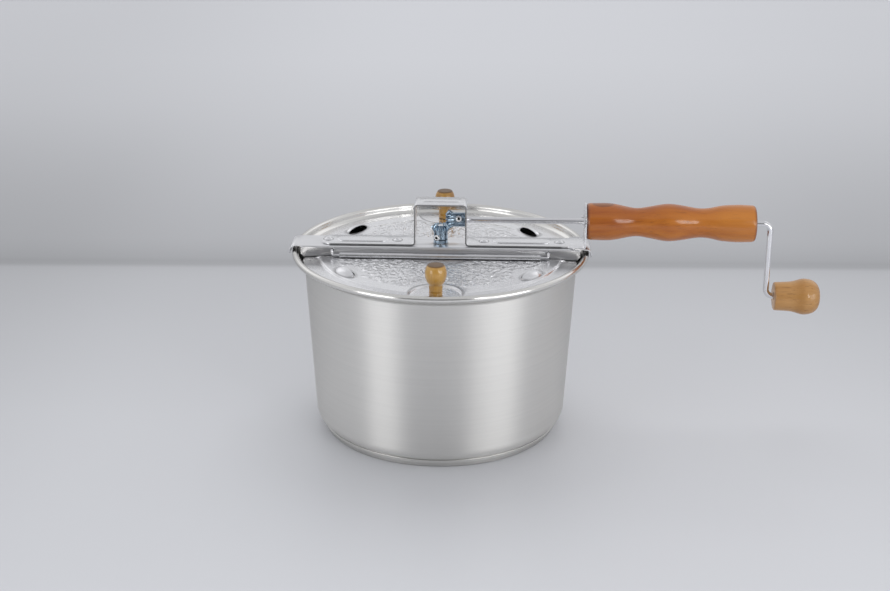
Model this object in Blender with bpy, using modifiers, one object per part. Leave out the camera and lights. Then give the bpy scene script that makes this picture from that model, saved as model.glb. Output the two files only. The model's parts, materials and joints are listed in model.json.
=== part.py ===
"""Hand-crank popcorn popper: pot, lifting lid frame with two flaps, crank, miter gears and stirrer.

Metres, +Z up. The origin is the centre of the base's underside, and +X points along the handle.
"""

import math

import bmesh
import bpy
from mathutils import Matrix, Vector

# Clearances
GAP = 0.0003
ROD_CLEARANCE = 0.0003
BORE_CLEARANCE = 0.0007
FLOOR_CLEARANCE = 0.0008
CUT_MARGIN = 0.0025

# Pot
RIM_RADIUS = 0.1250
BEAD_RADIUS = 0.0026
POT_HEIGHT = 0.1579
POT_SHEET = 0.0009
WALL_SLOPE = math.radians(3.39)
FLARE_WIDTH = 0.0100
FLARE_HEIGHT = 0.0114
CORNER_RADIUS = 0.0130

# Base
CAP_SHEET = 0.0008
CORE_THICKNESS = 0.0036
CAP_LIP = 0.00225
CAP_OVERHANG = 0.0060
CAP_EDGE_RADIUS = 0.0025

# Bridge
BRIDGE_RISE = 0.0033
BRIDGE_HALF_WIDTH = 0.0144
BRIDGE_SHEET = 0.0010
BRIDGE_FOLD_RADIUS = 0.0012
FLANGE_DEPTH = 0.0100
FLANGE_BEVEL = 0.0030
FLANGE_END_CLEARANCE = 0.0018
HOOK_RADIUS = 0.0050
HOOK_CLEARANCE = 0.0009
HOOK_TIP_DROP = 0.0022

# Gear bracket
BRACKET_MARGIN = 0.0029
BRACKET_SHEET = 0.0012
BRACKET_FOLD_RADIUS = 0.0026
BRACKET_END_INSET = 0.0250
FOOT_CORNER_RADIUS = 0.0085
HAT_HALF_LENGTH = 0.0220
HAT_HEADROOM = 0.0160
TONGUE_INSET = 0.0033
TONGUE_MARGIN = 0.0003
TONGUE_FLARE_LENGTH = 0.0060
RIB_HEIGHT = 0.0008
FOOT_RIB_WIDTH = 0.0120
FOOT_RIB_MARGIN = 0.0072
HAT_RIB_WIDTH = 0.0070
HAT_RIB_MARGIN = 0.0055

# Rivets
HAT_TO_RIVET = 0.0145
END_TO_RIVET = 0.0050
TONGUE_TO_RIVET = 0.0217
RIVET_RADIUS = 0.0018
RIVET_HEAD_RADIUS = 0.0036
RIVET_HEAD_HEIGHT = 0.0010

# Flaps and their hinges
LID_INSET = 0.0085
LID_DROP = 0.0069
LID_SHEET = 0.0006
BAND_WIDTH = 0.0155
PANEL_RISE = 0.0016
STEP_WIDTH = 0.0016
KNOB_INSET = 0.0165
KNOB_PAD_RADIUS = 0.0210
HINGE_CLEARANCE = 0.0004
CURL_RADIUS = 0.0024
CURL_TO_WIRE_END = 0.0065
TAIL_CLEARANCE = 0.0008
TAIL_SLIT = 0.0015
TAIL_TRIM = 0.0015
WIRE_RADIUS = 0.0011
WIRE_END_INSET = 0.0345
WIRE_RISE = 0.0036
LOUVER_INSET = 0.0221
LOUVER_ANGLE = math.radians(36.4)
LOUVER_LENGTH = 0.0250
LOUVER_WIDTH = 0.0130
LOUVER_HEIGHT = 0.0036
HOOD_SHEET = 0.0007

# Flap knobs
KNOB_HEIGHT = 0.0252
KNOB_BALL_RADIUS = 0.00875
KNOB_BALL_SHAPE = [
    (0.66, 0.0),
    (0.76, 0.0006),
    (0.90, 0.0026),
    (0.975, 0.0048),
    (1.0, 0.0073),
    (0.975, 0.0098),
    (0.90, 0.0123),
    (0.78, 0.0145),
    (0.66, 0.0160),
    (0.617, 0.0172),
]
KNOB_NECK_RADIUS = 0.0054
KNOB_SCREW_RADIUS = 0.0015
KNOB_SCREW_REACH = 0.0120
SCREW_HEAD_RADIUS = 0.0035
SCREW_HEAD_HEIGHT = 0.0018

# Crank rod and handle
ROD_HEIGHT = 0.0203
ROD_RADIUS = 0.0025
HANDLE_LENGTH = 0.1406
HANDLE_RADIUS = 0.0155
ARM_CLEARANCE = 0.0130
ARM_LENGTH = 0.0641
ROD_BEND_RADIUS = 0.0065
CRANK_KNOB_GAP = 0.0068
CRANK_KNOB_LENGTH = 0.0390
CRANK_KNOB_RADIUS = 0.0153
CRANK_KNOB_END_WALL = 0.0120
HANDLE_SCREW_INSET = 0.0057
HANDLE_SCREW_RADIUS = 0.0016
HANDLE_SCREW_REACH = 0.0170

# Miter gears
TEETH = 12
MODULE = 0.00125
TOOTH_BACKLASH = 0.00045
PRESSURE_ANGLE = math.radians(20)
SMALL_END_SHARE = 0.60
HUB_WALL = 0.0032
HUB_SETBACK = 0.0033
SHAFT_END_CLEARANCE = 0.0006
PIN_RADIUS = 0.0014
PIN_HEAD_RADIUS = 0.0026
PIN_HEAD_HEIGHT = 0.0009
PIN_FROM_HUB_END = 0.0052
DRIVE_PIN_TURN = math.radians(23)
DRIVEN_PIN_TURN = math.radians(-30)

# Stirrer
SHAFT_SHOULDER = 0.0005
SHAFT_FOOT_WALL = 0.0020
SHAFT_FOOT_HEIGHT = 0.0120
STIR_WIRE_RADIUS = 0.0016
STIR_WIRE_HEIGHT = 0.0052
STIR_END_CLEARANCE = 0.0023
STIR_UPTURN = 0.0140
STIR_SWEEP = math.radians(65)
BUSH_WALL = 0.0014
BUSH_FLANGE_WIDTH = 0.0023
BUSH_FLANGE_HEIGHT = 0.0010
CLIP_WIDTH = 0.0025
CLIP_THICKNESS = 0.0008
CLIP_GROOVE_DEPTH = 0.0007
CLIP_OPENING = math.radians(60)

# Facets
POT_STEPS = 52
TURNED_STEPS = 18
KNOB_STEPS = 16
BUSH_STEPS = 16
SMALL_STEPS = 10

# Pot and base, worked out
POT_UNDERSIDE = CAP_SHEET + CORE_THICKNESS + 2 * GAP
FLARE_FOOT_Z = POT_HEIGHT - FLARE_HEIGHT
WALL_TOP_RADIUS = RIM_RADIUS - FLARE_WIDTH
BEAD_CENTRE = (RIM_RADIUS - BEAD_RADIUS, POT_HEIGHT - BEAD_RADIUS)
CORNER_CENTRE_Z = POT_UNDERSIDE + CORNER_RADIUS
CORNER_WALL_RADIUS = WALL_TOP_RADIUS - (FLARE_FOOT_Z - CORNER_CENTRE_Z) * math.tan(WALL_SLOPE)
CORNER_CENTRE_R = CORNER_WALL_RADIUS - CORNER_RADIUS / math.cos(WALL_SLOPE)
CAP_FOOT_RADIUS = CORNER_CENTRE_R + CAP_OVERHANG
CAP_LIP_HEIGHT = POT_UNDERSIDE + CAP_LIP

# Bridge and bracket, worked out
BRIDGE_TOP = POT_HEIGHT + BRIDGE_RISE
BRIDGE_UNDERSIDE = BRIDGE_TOP - BRIDGE_SHEET
FLANGE_END_REACH = BEAD_CENTRE[0] - BEAD_RADIUS - FLANGE_END_CLEARANCE
FLANGE_END_X = math.sqrt(FLANGE_END_REACH**2 - BRIDGE_HALF_WIDTH**2)
HOOK_X = RIM_RADIUS + HOOK_CLEARANCE + BRIDGE_SHEET - HOOK_RADIUS
FOOT_BOTTOM = BRIDGE_TOP + GAP
FOOT_MIDDLE = FOOT_BOTTOM + BRACKET_SHEET / 2
FOOT_TOP = FOOT_BOTTOM + BRACKET_SHEET
BRACKET_HALF_WIDTH = BRIDGE_HALF_WIDTH - BRACKET_MARGIN
BRACKET_END_X = RIM_RADIUS - BRACKET_END_INSET
ROD_Z = BRIDGE_TOP + ROD_HEIGHT
HAT_TOP = ROD_Z + HAT_HEADROOM
TONGUE_X = RIM_RADIUS - TONGUE_INSET
TONGUE_RADIUS = HANDLE_RADIUS + TONGUE_MARGIN
INNER_RIVET_X = HAT_HALF_LENGTH + HAT_TO_RIVET
LEFT_RIVET_X = BRACKET_END_X - END_TO_RIVET
RIGHT_RIVET_X = TONGUE_X - TONGUE_TO_RIVET
RIVET_PLACES = (-LEFT_RIVET_X, -INNER_RIVET_X, INNER_RIVET_X, RIGHT_RIVET_X)

# Flaps, worked out
LID_RADIUS = RIM_RADIUS - LID_INSET
LID_BAND_TOP = POT_HEIGHT - LID_DROP
PANEL_TOP = LID_BAND_TOP + PANEL_RISE
PANEL_RADIUS = LID_RADIUS - BAND_WIDTH
KNOB_Y = LID_RADIUS - KNOB_INSET
HINGE_Y = BRIDGE_HALF_WIDTH + CURL_RADIUS + HINGE_CLEARANCE
HINGE_Z = PANEL_TOP - LID_SHEET + CURL_RADIUS
TAIL_Y = BRIDGE_HALF_WIDTH + TAIL_CLEARANCE
WIRE_END_X = RIM_RADIUS - WIRE_END_INSET
WIRE_HOLE_Z = HINGE_Z + WIRE_RISE
CURL_HALF_LENGTH = WIRE_END_X - CURL_TO_WIRE_END
CURL_END_ANGLE = math.atan2(HINGE_Y, CURL_HALF_LENGTH)
TAIL_END_RADIUS = LID_RADIUS - TAIL_TRIM
TAIL_END_ANGLE = math.asin(TAIL_Y / TAIL_END_RADIUS)
LOUVER_RADIUS = LID_RADIUS - LOUVER_INSET

# Handle and crank, worked out
HANDLE_X = TONGUE_X + GAP
HANDLE_SCREW_Y = HANDLE_RADIUS - HANDLE_SCREW_INSET
ARM_X = HANDLE_X + HANDLE_LENGTH + ARM_CLEARANCE
CRANK_KNOB_X = ARM_X + CRANK_KNOB_GAP
CRANK_KNOB_Z = ROD_Z - ARM_LENGTH
ROD_REACH_IN_KNOB = CRANK_KNOB_LENGTH - CRANK_KNOB_END_WALL

# Gears and stirrer, worked out
APEX = (0, 0, ROD_Z)
PITCH_RADIUS = MODULE * TEETH / 2
JOURNAL_RADIUS = ROD_RADIUS
GEAR_BORE = JOURNAL_RADIUS + ROD_CLEARANCE
HUB_RADIUS = GEAR_BORE + HUB_WALL
HUB_START = PITCH_RADIUS + HUB_SETBACK
SHAFT_END_REACH = PITCH_RADIUS * SMALL_END_SHARE + SHAFT_END_CLEARANCE
DRIVE_HUB_END = HAT_HALF_LENGTH - BRACKET_SHEET - GAP
DRIVEN_HUB_END = ROD_Z - FOOT_BOTTOM
DRIVE_PIN = (DRIVE_HUB_END - PIN_FROM_HUB_END, 0, ROD_Z)
DRIVE_PIN_DIRECTION = (0, -math.cos(DRIVE_PIN_TURN), math.sin(DRIVE_PIN_TURN))
DRIVEN_PIN = (0, 0, FOOT_BOTTOM + PIN_FROM_HUB_END)
DRIVEN_PIN_DIRECTION = (math.sin(DRIVEN_PIN_TURN), -math.cos(DRIVEN_PIN_TURN), 0)
SHAFT_RADIUS = JOURNAL_RADIUS + SHAFT_SHOULDER
SHAFT_BOTTOM = POT_UNDERSIDE + POT_SHEET + FLOOR_CLEARANCE
SHAFT_FOOT_RADIUS = SHAFT_RADIUS + SHAFT_FOOT_WALL
STIR_WIRE_Z = SHAFT_BOTTOM + STIR_WIRE_HEIGHT
STIR_REACH = CORNER_CENTRE_R - STIR_END_CLEARANCE
BUSH_RADIUS = SHAFT_RADIUS + ROD_CLEARANCE + BUSH_WALL
BUSH_FLANGE_TOP = BRIDGE_UNDERSIDE - GAP
BUSH_FLANGE_BOTTOM = BUSH_FLANGE_TOP - BUSH_FLANGE_HEIGHT
CLIP_TOP = BUSH_FLANGE_BOTTOM - GAP

# Colours, as linear values
STEEL = (0.62, 0.62, 0.60)
BRIGHT_STEEL = (0.72, 0.72, 0.73)
ZINC = (0.42, 0.50, 0.56)
ALUMINIUM = (0.55, 0.56, 0.57)
HANDLE_WOOD = (0.42, 0.14, 0.030)
FLAP_KNOB_WOOD = (0.45, 0.21, 0.055)
CRANK_KNOB_WOOD = (0.50, 0.28, 0.11)
NYLON = (0.75, 0.74, 0.70)


def clear_scene():
    for thing in list(bpy.data.objects):
        bpy.data.objects.remove(thing, do_unlink=True)


def new_collection(name):
    collection = bpy.data.collections.new(name)
    bpy.context.scene.collection.children.link(collection)
    return collection


def new_material(name, color, roughness, metallic):
    material = bpy.data.materials.new(name)
    material.use_nodes = True
    material.diffuse_color = (*color, 1.0)
    shader = material.node_tree.nodes["Principled BSDF"]
    shader.inputs["Base Color"].default_value = (*color, 1.0)
    shader.inputs["Roughness"].default_value = roughness
    shader.inputs["Metallic"].default_value = metallic
    return material


clear_scene()
PARTS = new_collection("popcorn_popper")
CUTTERS = new_collection("cutters")

BRUSHED = new_material("brushed_steel", STEEL, 0.35, 1.0)
POLISHED = new_material("polished_steel", BRIGHT_STEEL, 0.08, 1.0)
BRIGHT_WIRE = new_material("bright_wire", BRIGHT_STEEL, 0.15, 1.0)
ZINC_PLATE = new_material("zinc_plate", ZINC, 0.25, 1.0)
CORE_METAL = new_material("aluminium", ALUMINIUM, 0.5, 1.0)
GRIP_WOOD = new_material("handle_wood", HANDLE_WOOD, 0.28, 0.0)
KNOB_WOOD = new_material("flap_knob_wood", FLAP_KNOB_WOOD, 0.30, 0.0)
PALE_WOOD = new_material("crank_knob_wood", CRANK_KNOB_WOOD, 0.38, 0.0)
BUSH_NYLON = new_material("nylon", NYLON, 0.5, 0.0)


def pivot(name, location, parent=None):
    """An empty on a joint's axis."""
    empty = bpy.data.objects.new(name, None)
    empty.empty_display_size = 0.02
    empty.location = location
    PARTS.objects.link(empty)
    if parent:
        hang(empty, parent)
    return empty


def hang(thing, parent):
    """Parents thing and keeps its place in the world; every pivot here is unturned."""
    bpy.context.view_layer.update()
    thing.parent = parent
    thing.matrix_parent_inverse = parent.matrix_world.inverted()


def add_object(name, data, material, location=(0, 0, 0), rotation=(0, 0, 0), parent=None):
    thing = bpy.data.objects.new(name, data)
    thing.location = location
    thing.rotation_euler = rotation
    PARTS.objects.link(thing)
    if not data.materials:
        data.materials.append(material)
    if parent:
        hang(thing, parent)
    return thing


def arc(cx, cz, radius, start, end, count):
    """count + 1 points of an arc, from the angle start to the angle end in degrees."""
    angles = [math.radians(start + (end - start) * i / count) for i in range(count + 1)]
    return [(cx + radius * math.cos(a), cz + radius * math.sin(a)) for a in angles]


def smooth_line(points, spans):
    """A Catmull-Rom curve through 2D points, with the given number of steps between neighbours."""
    ends = [points[0], *points, points[-1]]
    line = []
    for p0, p1, p2, p3 in zip(ends, ends[1:], ends[2:], ends[3:]):
        for step in range(spans):
            t = step / spans
            line.append(
                tuple(
                    0.5 * (2 * b + (c - a) * t + (2 * a - 5 * b + 4 * c - d) * t**2
                           + (3 * b - a - 3 * c + d) * t**3)
                    for a, b, c, d in zip(p0, p1, p2, p3)
                )
            )
    return line + [points[-1]]


def rounded_path(corners, radius, count):
    """A path through 3D corners, each inner corner replaced by an arc of the given radius."""
    path = [Vector(corners[0])]
    for before, corner, after in zip(corners, corners[1:], corners[2:]):
        corner = Vector(corner)
        back = (Vector(before) - corner).normalized()
        on = (Vector(after) - corner).normalized()
        half = back.angle(on) / 2
        centre = corner + (back + on).normalized() * radius / math.sin(half)
        start = corner + back * radius / math.tan(half) - centre
        turn = math.pi - 2 * half
        axis = back.cross(on).normalized()
        for i in range(count + 1):
            path.append(centre + Matrix.Rotation(-turn * i / count, 3, axis) @ start)
    return path + [Vector(corners[-1])]


def shade(mesh):
    mesh.shade_smooth()
    mesh.set_sharp_from_angle(angle=math.radians(32))


def evaluated_mesh(thing, name):
    """The object's shape with its modifiers, or its curve's caps, as one welded mesh."""
    bpy.context.view_layer.update()
    graph = bpy.context.evaluated_depsgraph_get()
    mesh = bpy.data.meshes.new_from_object(thing.evaluated_get(graph))
    mesh.name = name
    welded = bmesh.new()
    welded.from_mesh(mesh)
    bmesh.ops.remove_doubles(welded, verts=welded.verts, dist=1e-7)
    bmesh.ops.dissolve_degenerate(welded, edges=welded.edges, dist=1e-7)
    welded.to_mesh(mesh)
    welded.free()
    shade(mesh)
    return mesh


def turned_mesh(name, profile, steps, ring=False):
    """A profile of (radius, height) points turned about Z; a ring's profile is closed and off the axis."""
    mesh = bpy.data.meshes.new(name + "_profile")
    edges = [(i, i + 1) for i in range(len(profile) - 1)]
    if ring:
        edges.append((len(profile) - 1, 0))
    mesh.from_pydata([(r, 0, z) for r, z in profile], edges, [])
    blank = bpy.data.objects.new(name + "_profile", mesh)
    CUTTERS.objects.link(blank)
    screw = blank.modifiers.new("turn", "SCREW")
    screw.steps = screw.render_steps = steps
    screw.use_merge_vertices = True
    screw.merge_threshold = 1e-6
    result = evaluated_mesh(blank, name)
    bpy.data.objects.remove(blank)
    bpy.data.meshes.remove(mesh)
    return result


def turned(name, profile, steps, material, ring=False, **place):
    return add_object(name, turned_mesh(name, profile, steps, ring), material, **place)


def sheet_mesh(name, build, thickness, offset):
    """An open surface made by build(bm), given its thickness by Solidify."""
    bm = bmesh.new()
    build(bm)
    bmesh.ops.remove_doubles(bm, verts=bm.verts, dist=1e-6)
    bmesh.ops.dissolve_degenerate(bm, edges=bm.edges, dist=1e-6)
    mesh = bpy.data.meshes.new(name + "_skin")
    bm.to_mesh(mesh)
    bm.free()
    blank = bpy.data.objects.new(name + "_skin", mesh)
    CUTTERS.objects.link(blank)
    wall = blank.modifiers.new("thickness", "SOLIDIFY")
    wall.thickness = thickness
    wall.offset = offset
    wall.use_even_offset = True
    result = evaluated_mesh(blank, name)
    bpy.data.objects.remove(blank)
    bpy.data.meshes.remove(mesh)
    return result


def grid_faces(bm, rows):
    """Faces between rows of points of equal length."""
    verts = [[bm.verts.new(p) for p in row] for row in rows]
    for low, high in zip(verts, verts[1:]):
        for i in range(len(low) - 1):
            bm.faces.new((low[i], low[i + 1], high[i + 1], high[i]))


def curve_object(name, path, radius, sides, material, parent=None):
    """A round wire along a POLY spline."""
    curve = bpy.data.curves.new(name, "CURVE")
    curve.dimensions = "3D"
    curve.bevel_depth = radius
    curve.bevel_resolution = sides
    curve.use_fill_caps = True
    spline = curve.splines.new("POLY")
    spline.points.add(len(path) - 1)
    for point, place in zip(spline.points, path):
        point.co = (*place, 1.0)
    return add_object(name, curve, material, parent=parent)


def wire_mesh_object(name, path, radius, sides, material, parent=None):
    """The same wire made a mesh, so that it can be cut."""
    wire = curve_object(name + "_curve", path, radius, sides, material)
    mesh = evaluated_mesh(wire, name)
    curve = wire.data
    bpy.data.objects.remove(wire)
    bpy.data.curves.remove(curve)
    return add_object(name, mesh, material, parent=parent)


def cylinder(bm, radius, start, end, sides=SMALL_STEPS):
    """A closed cylinder between two points."""
    start = Vector(start)
    end = Vector(end)
    turn = (end - start).to_track_quat("Z", "Y").to_matrix().to_4x4()
    bmesh.ops.create_cone(
        bm,
        cap_ends=True,
        segments=sides,
        radius1=radius,
        radius2=radius,
        depth=(end - start).length,
        matrix=Matrix.Translation((start + end) / 2) @ turn,
    )


def cut(thing, name, build):
    """Cuts what build(bm) makes, in the world's coordinates, out of thing."""
    combine(thing, name, build, "DIFFERENCE")


def combine(thing, name, build, operation):
    bm = bmesh.new()
    build(bm)
    mesh = bpy.data.meshes.new(name)
    bm.to_mesh(mesh)
    bm.free()
    tool = bpy.data.objects.new(name, mesh)
    CUTTERS.objects.link(tool)
    tool.hide_render = True
    tool.display_type = "WIRE"
    modifier = thing.modifiers.new(name, "BOOLEAN")
    modifier.operation = operation
    modifier.solver = "EXACT"
    modifier.object = tool


def stadium(bm, length, width, low, high, taper, x):
    """A raised rib: a stadium along X about (x, 0), its top drawn in by the taper."""
    radius = width / 2
    straight = length / 2 - radius

    def outline(inset, z):
        right = arc(x + straight, 0, radius - inset, -90, 90, 5)
        left = arc(x - straight, 0, radius - inset, 90, 270, 5)
        return [bm.verts.new((px, py, z)) for px, py in right + left]

    rings = [outline(0, low), outline(0, high - taper), outline(taper, high)]
    bm.faces.new(list(reversed(rings[0])))
    for lower, upper in zip(rings, rings[1:]):
        for i in range(len(lower)):
            j = (i + 1) % len(lower)
            bm.faces.new((lower[i], lower[j], upper[j], upper[i]))
    bm.faces.new(rings[-1])


# Pot

def flare(outside):
    """The curve from the wall to the bead, on the inner skin or on the outer one."""
    shift = 0 if outside else POT_SHEET
    angle = math.radians(232 if outside else 192)
    foot = Vector((WALL_TOP_RADIUS - shift, FLARE_FOOT_Z))
    end = Vector(
        (BEAD_CENTRE[0] + BEAD_RADIUS * math.cos(angle), BEAD_CENTRE[1] + BEAD_RADIUS * math.sin(angle))
    )
    along_wall = Vector((math.sin(WALL_SLOPE), math.cos(WALL_SLOPE)))
    along_bead = Vector((math.sin(angle), -math.cos(angle)))
    reach = (end - foot).length * 0.42
    first = foot + along_wall * reach
    second = end - along_bead * reach
    points = []
    for step in range(5):
        t = step / 4
        points.append(
            foot * (1 - t) ** 3 + first * 3 * t * (1 - t) ** 2 + second * 3 * t**2 * (1 - t) + end * t**3
        )
    return [tuple(p) for p in points]


def pot_profile():
    """Inside from the middle of the bottom to the rim, round the bead, and down the outside."""
    slope = math.degrees(WALL_SLOPE)
    corner = (CORNER_CENTRE_R, CORNER_CENTRE_Z)
    inside = [(0, POT_UNDERSIDE + POT_SHEET)]
    inside += arc(*corner, CORNER_RADIUS - POT_SHEET, -90, -slope, 3)
    inside += flare(outside=False)
    bead = arc(*BEAD_CENTRE, BEAD_RADIUS, 192, -128, 7)[1:-1]
    outside = list(reversed(flare(outside=True)))
    outside += arc(*corner, CORNER_RADIUS, -slope, -90, 4)
    return inside + bead + outside + [(0, POT_UNDERSIDE)]


def make_pot(parent):
    turned("pot_body", pot_profile(), POT_STEPS, BRUSHED, parent=parent)


def cap_wall(inset, count):
    """The cap's edge from its flat bottom up to its lip, moved in by the inset."""
    lip_reach = CORNER_RADIUS + GAP
    lip_drop = CORNER_CENTRE_Z - CAP_LIP_HEIGHT
    lip_radius = CORNER_CENTRE_R + math.sqrt(lip_reach**2 - lip_drop**2) + CAP_SHEET
    edge = CAP_EDGE_RADIUS - inset
    foot = arc(CAP_FOOT_RADIUS - CAP_EDGE_RADIUS, CAP_EDGE_RADIUS, edge, -90, -20, count)
    return foot + [(lip_radius - inset, CAP_LIP_HEIGHT)]


def make_base(parent):
    inner = cap_wall(CAP_SHEET, 2)
    outer = list(reversed(cap_wall(0, 3)))
    profile = [(0, CAP_SHEET)] + inner + outer + [(0, 0)]
    turned("base_cap", profile, POT_STEPS, BRUSHED, parent=parent)

    corner = (CORNER_CENTRE_R, CORNER_CENTRE_Z)
    side = cap_wall(CAP_SHEET + GAP, 2)[:-1]
    top = CAP_SHEET + GAP + CORE_THICKNESS
    under_corner = arc(*corner, CORNER_RADIUS + GAP, -90, -66, 2)
    profile = [(0, top)] + under_corner + list(reversed(side)) + [(0, CAP_SHEET + GAP)]
    turned("base_core", profile, POT_STEPS, CORE_METAL, parent=parent)


# Bridge

def bridge_skin(bm):
    """The outer skin: a channel whose top plate runs on at both ends and turns down over the rim."""
    fold = BRIDGE_FOLD_RADIUS
    edge = arc(BRIDGE_HALF_WIDTH - fold, -fold, fold, 0, 90, 3)
    right = [(BRIDGE_HALF_WIDTH, -FLANGE_DEPTH)] + edge
    across = right + [(-y, drop) for y, drop in reversed(right)]
    bevel_x = FLANGE_END_X - FLANGE_BEVEL
    rows = []
    for x in (-FLANGE_END_X, -bevel_x, 0.0, bevel_x, FLANGE_END_X):
        row = [Vector((x, y, BRIDGE_TOP + drop)) for y, drop in across]
        if abs(x) == FLANGE_END_X:
            row[0].z += FLANGE_BEVEL
            row[-1].z += FLANGE_BEVEL
        rows.append(row)
    grid_faces(bm, rows)
    flat = [y for y, drop in across if drop == 0.0]
    for side in (1, -1):
        bend = arc(HOOK_X, BRIDGE_TOP - HOOK_RADIUS, HOOK_RADIUS, 90, 0, 6)
        tip = (bend[-1][0], bend[-1][1] - HOOK_TIP_DROP)
        path = [(FLANGE_END_X, BRIDGE_TOP)] + bend + [tip]
        order = flat if side == 1 else list(reversed(flat))
        grid_faces(bm, [[Vector((side * x, y, z)) for y in order] for x, z in path])


def make_bridge(parent):
    mesh = sheet_mesh("bridge", bridge_skin, BRIDGE_SHEET, -1)
    bridge = add_object("bridge", mesh, POLISHED, parent=parent)

    def holes(bm):
        low = BRIDGE_UNDERSIDE - CUT_MARGIN
        high = BRIDGE_TOP + CUT_MARGIN
        cylinder(bm, BUSH_RADIUS + GAP, (0, 0, low), (0, 0, high), BUSH_STEPS)
        for x in RIVET_PLACES:
            cylinder(bm, RIVET_RADIUS + GAP, (x, 0, low), (x, 0, high))
        for x in (-WIRE_END_X, WIRE_END_X):
            for side in (-1, 1):
                start = (x, side * (BRIDGE_HALF_WIDTH - BRIDGE_SHEET - CUT_MARGIN), WIRE_HOLE_Z)
                end = (x, side * (BRIDGE_HALF_WIDTH + CUT_MARGIN), WIRE_HOLE_Z)
                cylinder(bm, WIRE_RADIUS + GAP, start, end)

    cut(bridge, "bridge_holes", holes)


# Gear bracket

def bracket_stations():
    """(x, z, half width) along the middle of the strip, from the left foot's end to the tongue's top."""
    width = BRACKET_HALF_WIDTH
    rounding = FOOT_CORNER_RADIUS
    stations = []
    for x, half in arc(-BRACKET_END_X + rounding, width - rounding, rounding, 180, 90, 5):
        stations.append((x, FOOT_MIDDLE, half))
    leg = HAT_HALF_LENGTH - BRACKET_SHEET / 2
    top = HAT_TOP - BRACKET_SHEET / 2
    plate = TONGUE_X - BRACKET_SHEET / 2
    flare_start = plate - BRACKET_FOLD_RADIUS - 2 * TONGUE_FLARE_LENGTH
    corners = [
        (stations[-1][0], 0, FOOT_MIDDLE),
        (-leg, 0, FOOT_MIDDLE),
        (-leg, 0, top),
        (leg, 0, top),
        (leg, 0, FOOT_MIDDLE),
        (flare_start, 0, FOOT_MIDDLE),
    ]
    stations += [(p.x, p.z, width) for p in rounded_path(corners, BRACKET_FOLD_RADIUS, 4)[1:]]
    for i in range(1, 5):
        ease = (1 - math.cos(math.pi * i / 4)) / 2
        x = flare_start + TONGUE_FLARE_LENGTH * i / 4
        stations.append((x, FOOT_MIDDLE, width + (TONGUE_RADIUS - width) * ease))
    foot = stations[-1][0]
    bend = rounded_path([(foot, 0, FOOT_MIDDLE), (plate, 0, FOOT_MIDDLE), (plate, 0, ROD_Z)],
                        BRACKET_FOLD_RADIUS, 4)
    stations += [(p.x, p.z, TONGUE_RADIUS) for p in bend[1:]]
    for z, half in arc(ROD_Z, 0, TONGUE_RADIUS, 90, 8, 7)[1:]:
        stations.append((plate, z, half))
    return stations


def bracket_skin(bm):
    rows = []
    for x, z, half in bracket_stations():
        rows.append([(x, -half, z), (x, half, z)])
    grid_faces(bm, rows)


def make_bracket(parent):
    mesh = sheet_mesh("gear_bracket", bracket_skin, BRACKET_SHEET, 0)
    bracket = add_object("gear_bracket", mesh, POLISHED, parent=parent)

    def ribs(bm):
        taper = RIB_HEIGHT * 0.9
        for left, right in (RIVET_PLACES[:2], RIVET_PLACES[2:]):
            length = right - left - 2 * FOOT_RIB_MARGIN
            middle = (left + right) / 2
            stadium(bm, length, FOOT_RIB_WIDTH, FOOT_MIDDLE, FOOT_TOP + RIB_HEIGHT, taper, middle)
        length = 2 * (HAT_HALF_LENGTH - HAT_RIB_MARGIN)
        stadium(bm, length, HAT_RIB_WIDTH, HAT_TOP - BRACKET_SHEET / 2, HAT_TOP + RIB_HEIGHT, taper, 0)

    def holes(bm):
        for x in RIVET_PLACES:
            start = (x, 0, FOOT_BOTTOM - CUT_MARGIN)
            cylinder(bm, RIVET_RADIUS + GAP, start, (x, 0, FOOT_TOP + CUT_MARGIN))
        for outside in (HAT_HALF_LENGTH, TONGUE_X):
            start = (outside - BRACKET_SHEET - CUT_MARGIN, 0, ROD_Z)
            end = (outside + CUT_MARGIN, 0, ROD_Z)
            cylinder(bm, ROD_RADIUS + ROD_CLEARANCE, start, end, BUSH_STEPS)
        for y in (-HANDLE_SCREW_Y, HANDLE_SCREW_Y):
            start = (TONGUE_X - BRACKET_SHEET - CUT_MARGIN, y, ROD_Z)
            cylinder(bm, HANDLE_SCREW_RADIUS + GAP, start, (TONGUE_X + CUT_MARGIN, y, ROD_Z))

    combine(bracket, "bracket_ribs", ribs, "UNION")
    cut(bracket, "bracket_holes", holes)


def make_rivets(parent):
    """Clinched rivets: a low dished head over the bracket and a flared tail under the bridge."""
    head = FOOT_TOP + GAP
    tail = BRIDGE_UNDERSIDE - GAP
    profile = [
        (0, head + RIVET_HEAD_HEIGHT * 0.2),
        (RIVET_RADIUS * 0.75, head + RIVET_HEAD_HEIGHT),
        (RIVET_HEAD_RADIUS * 0.75, head + RIVET_HEAD_HEIGHT * 0.8),
        (RIVET_HEAD_RADIUS, head),
        (RIVET_RADIUS, head),
        (RIVET_RADIUS, tail),
        (RIVET_HEAD_RADIUS * 0.9, tail),
        (RIVET_HEAD_RADIUS * 0.7, tail - RIVET_HEAD_HEIGHT),
        (0, tail - RIVET_HEAD_HEIGHT),
    ]
    mesh = turned_mesh("bracket_rivet", profile, SMALL_STEPS)
    for number, x in enumerate(RIVET_PLACES, 1):
        add_object(f"bracket_rivet_{number}", mesh, POLISHED, location=(x, 0, 0), parent=parent)


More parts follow.
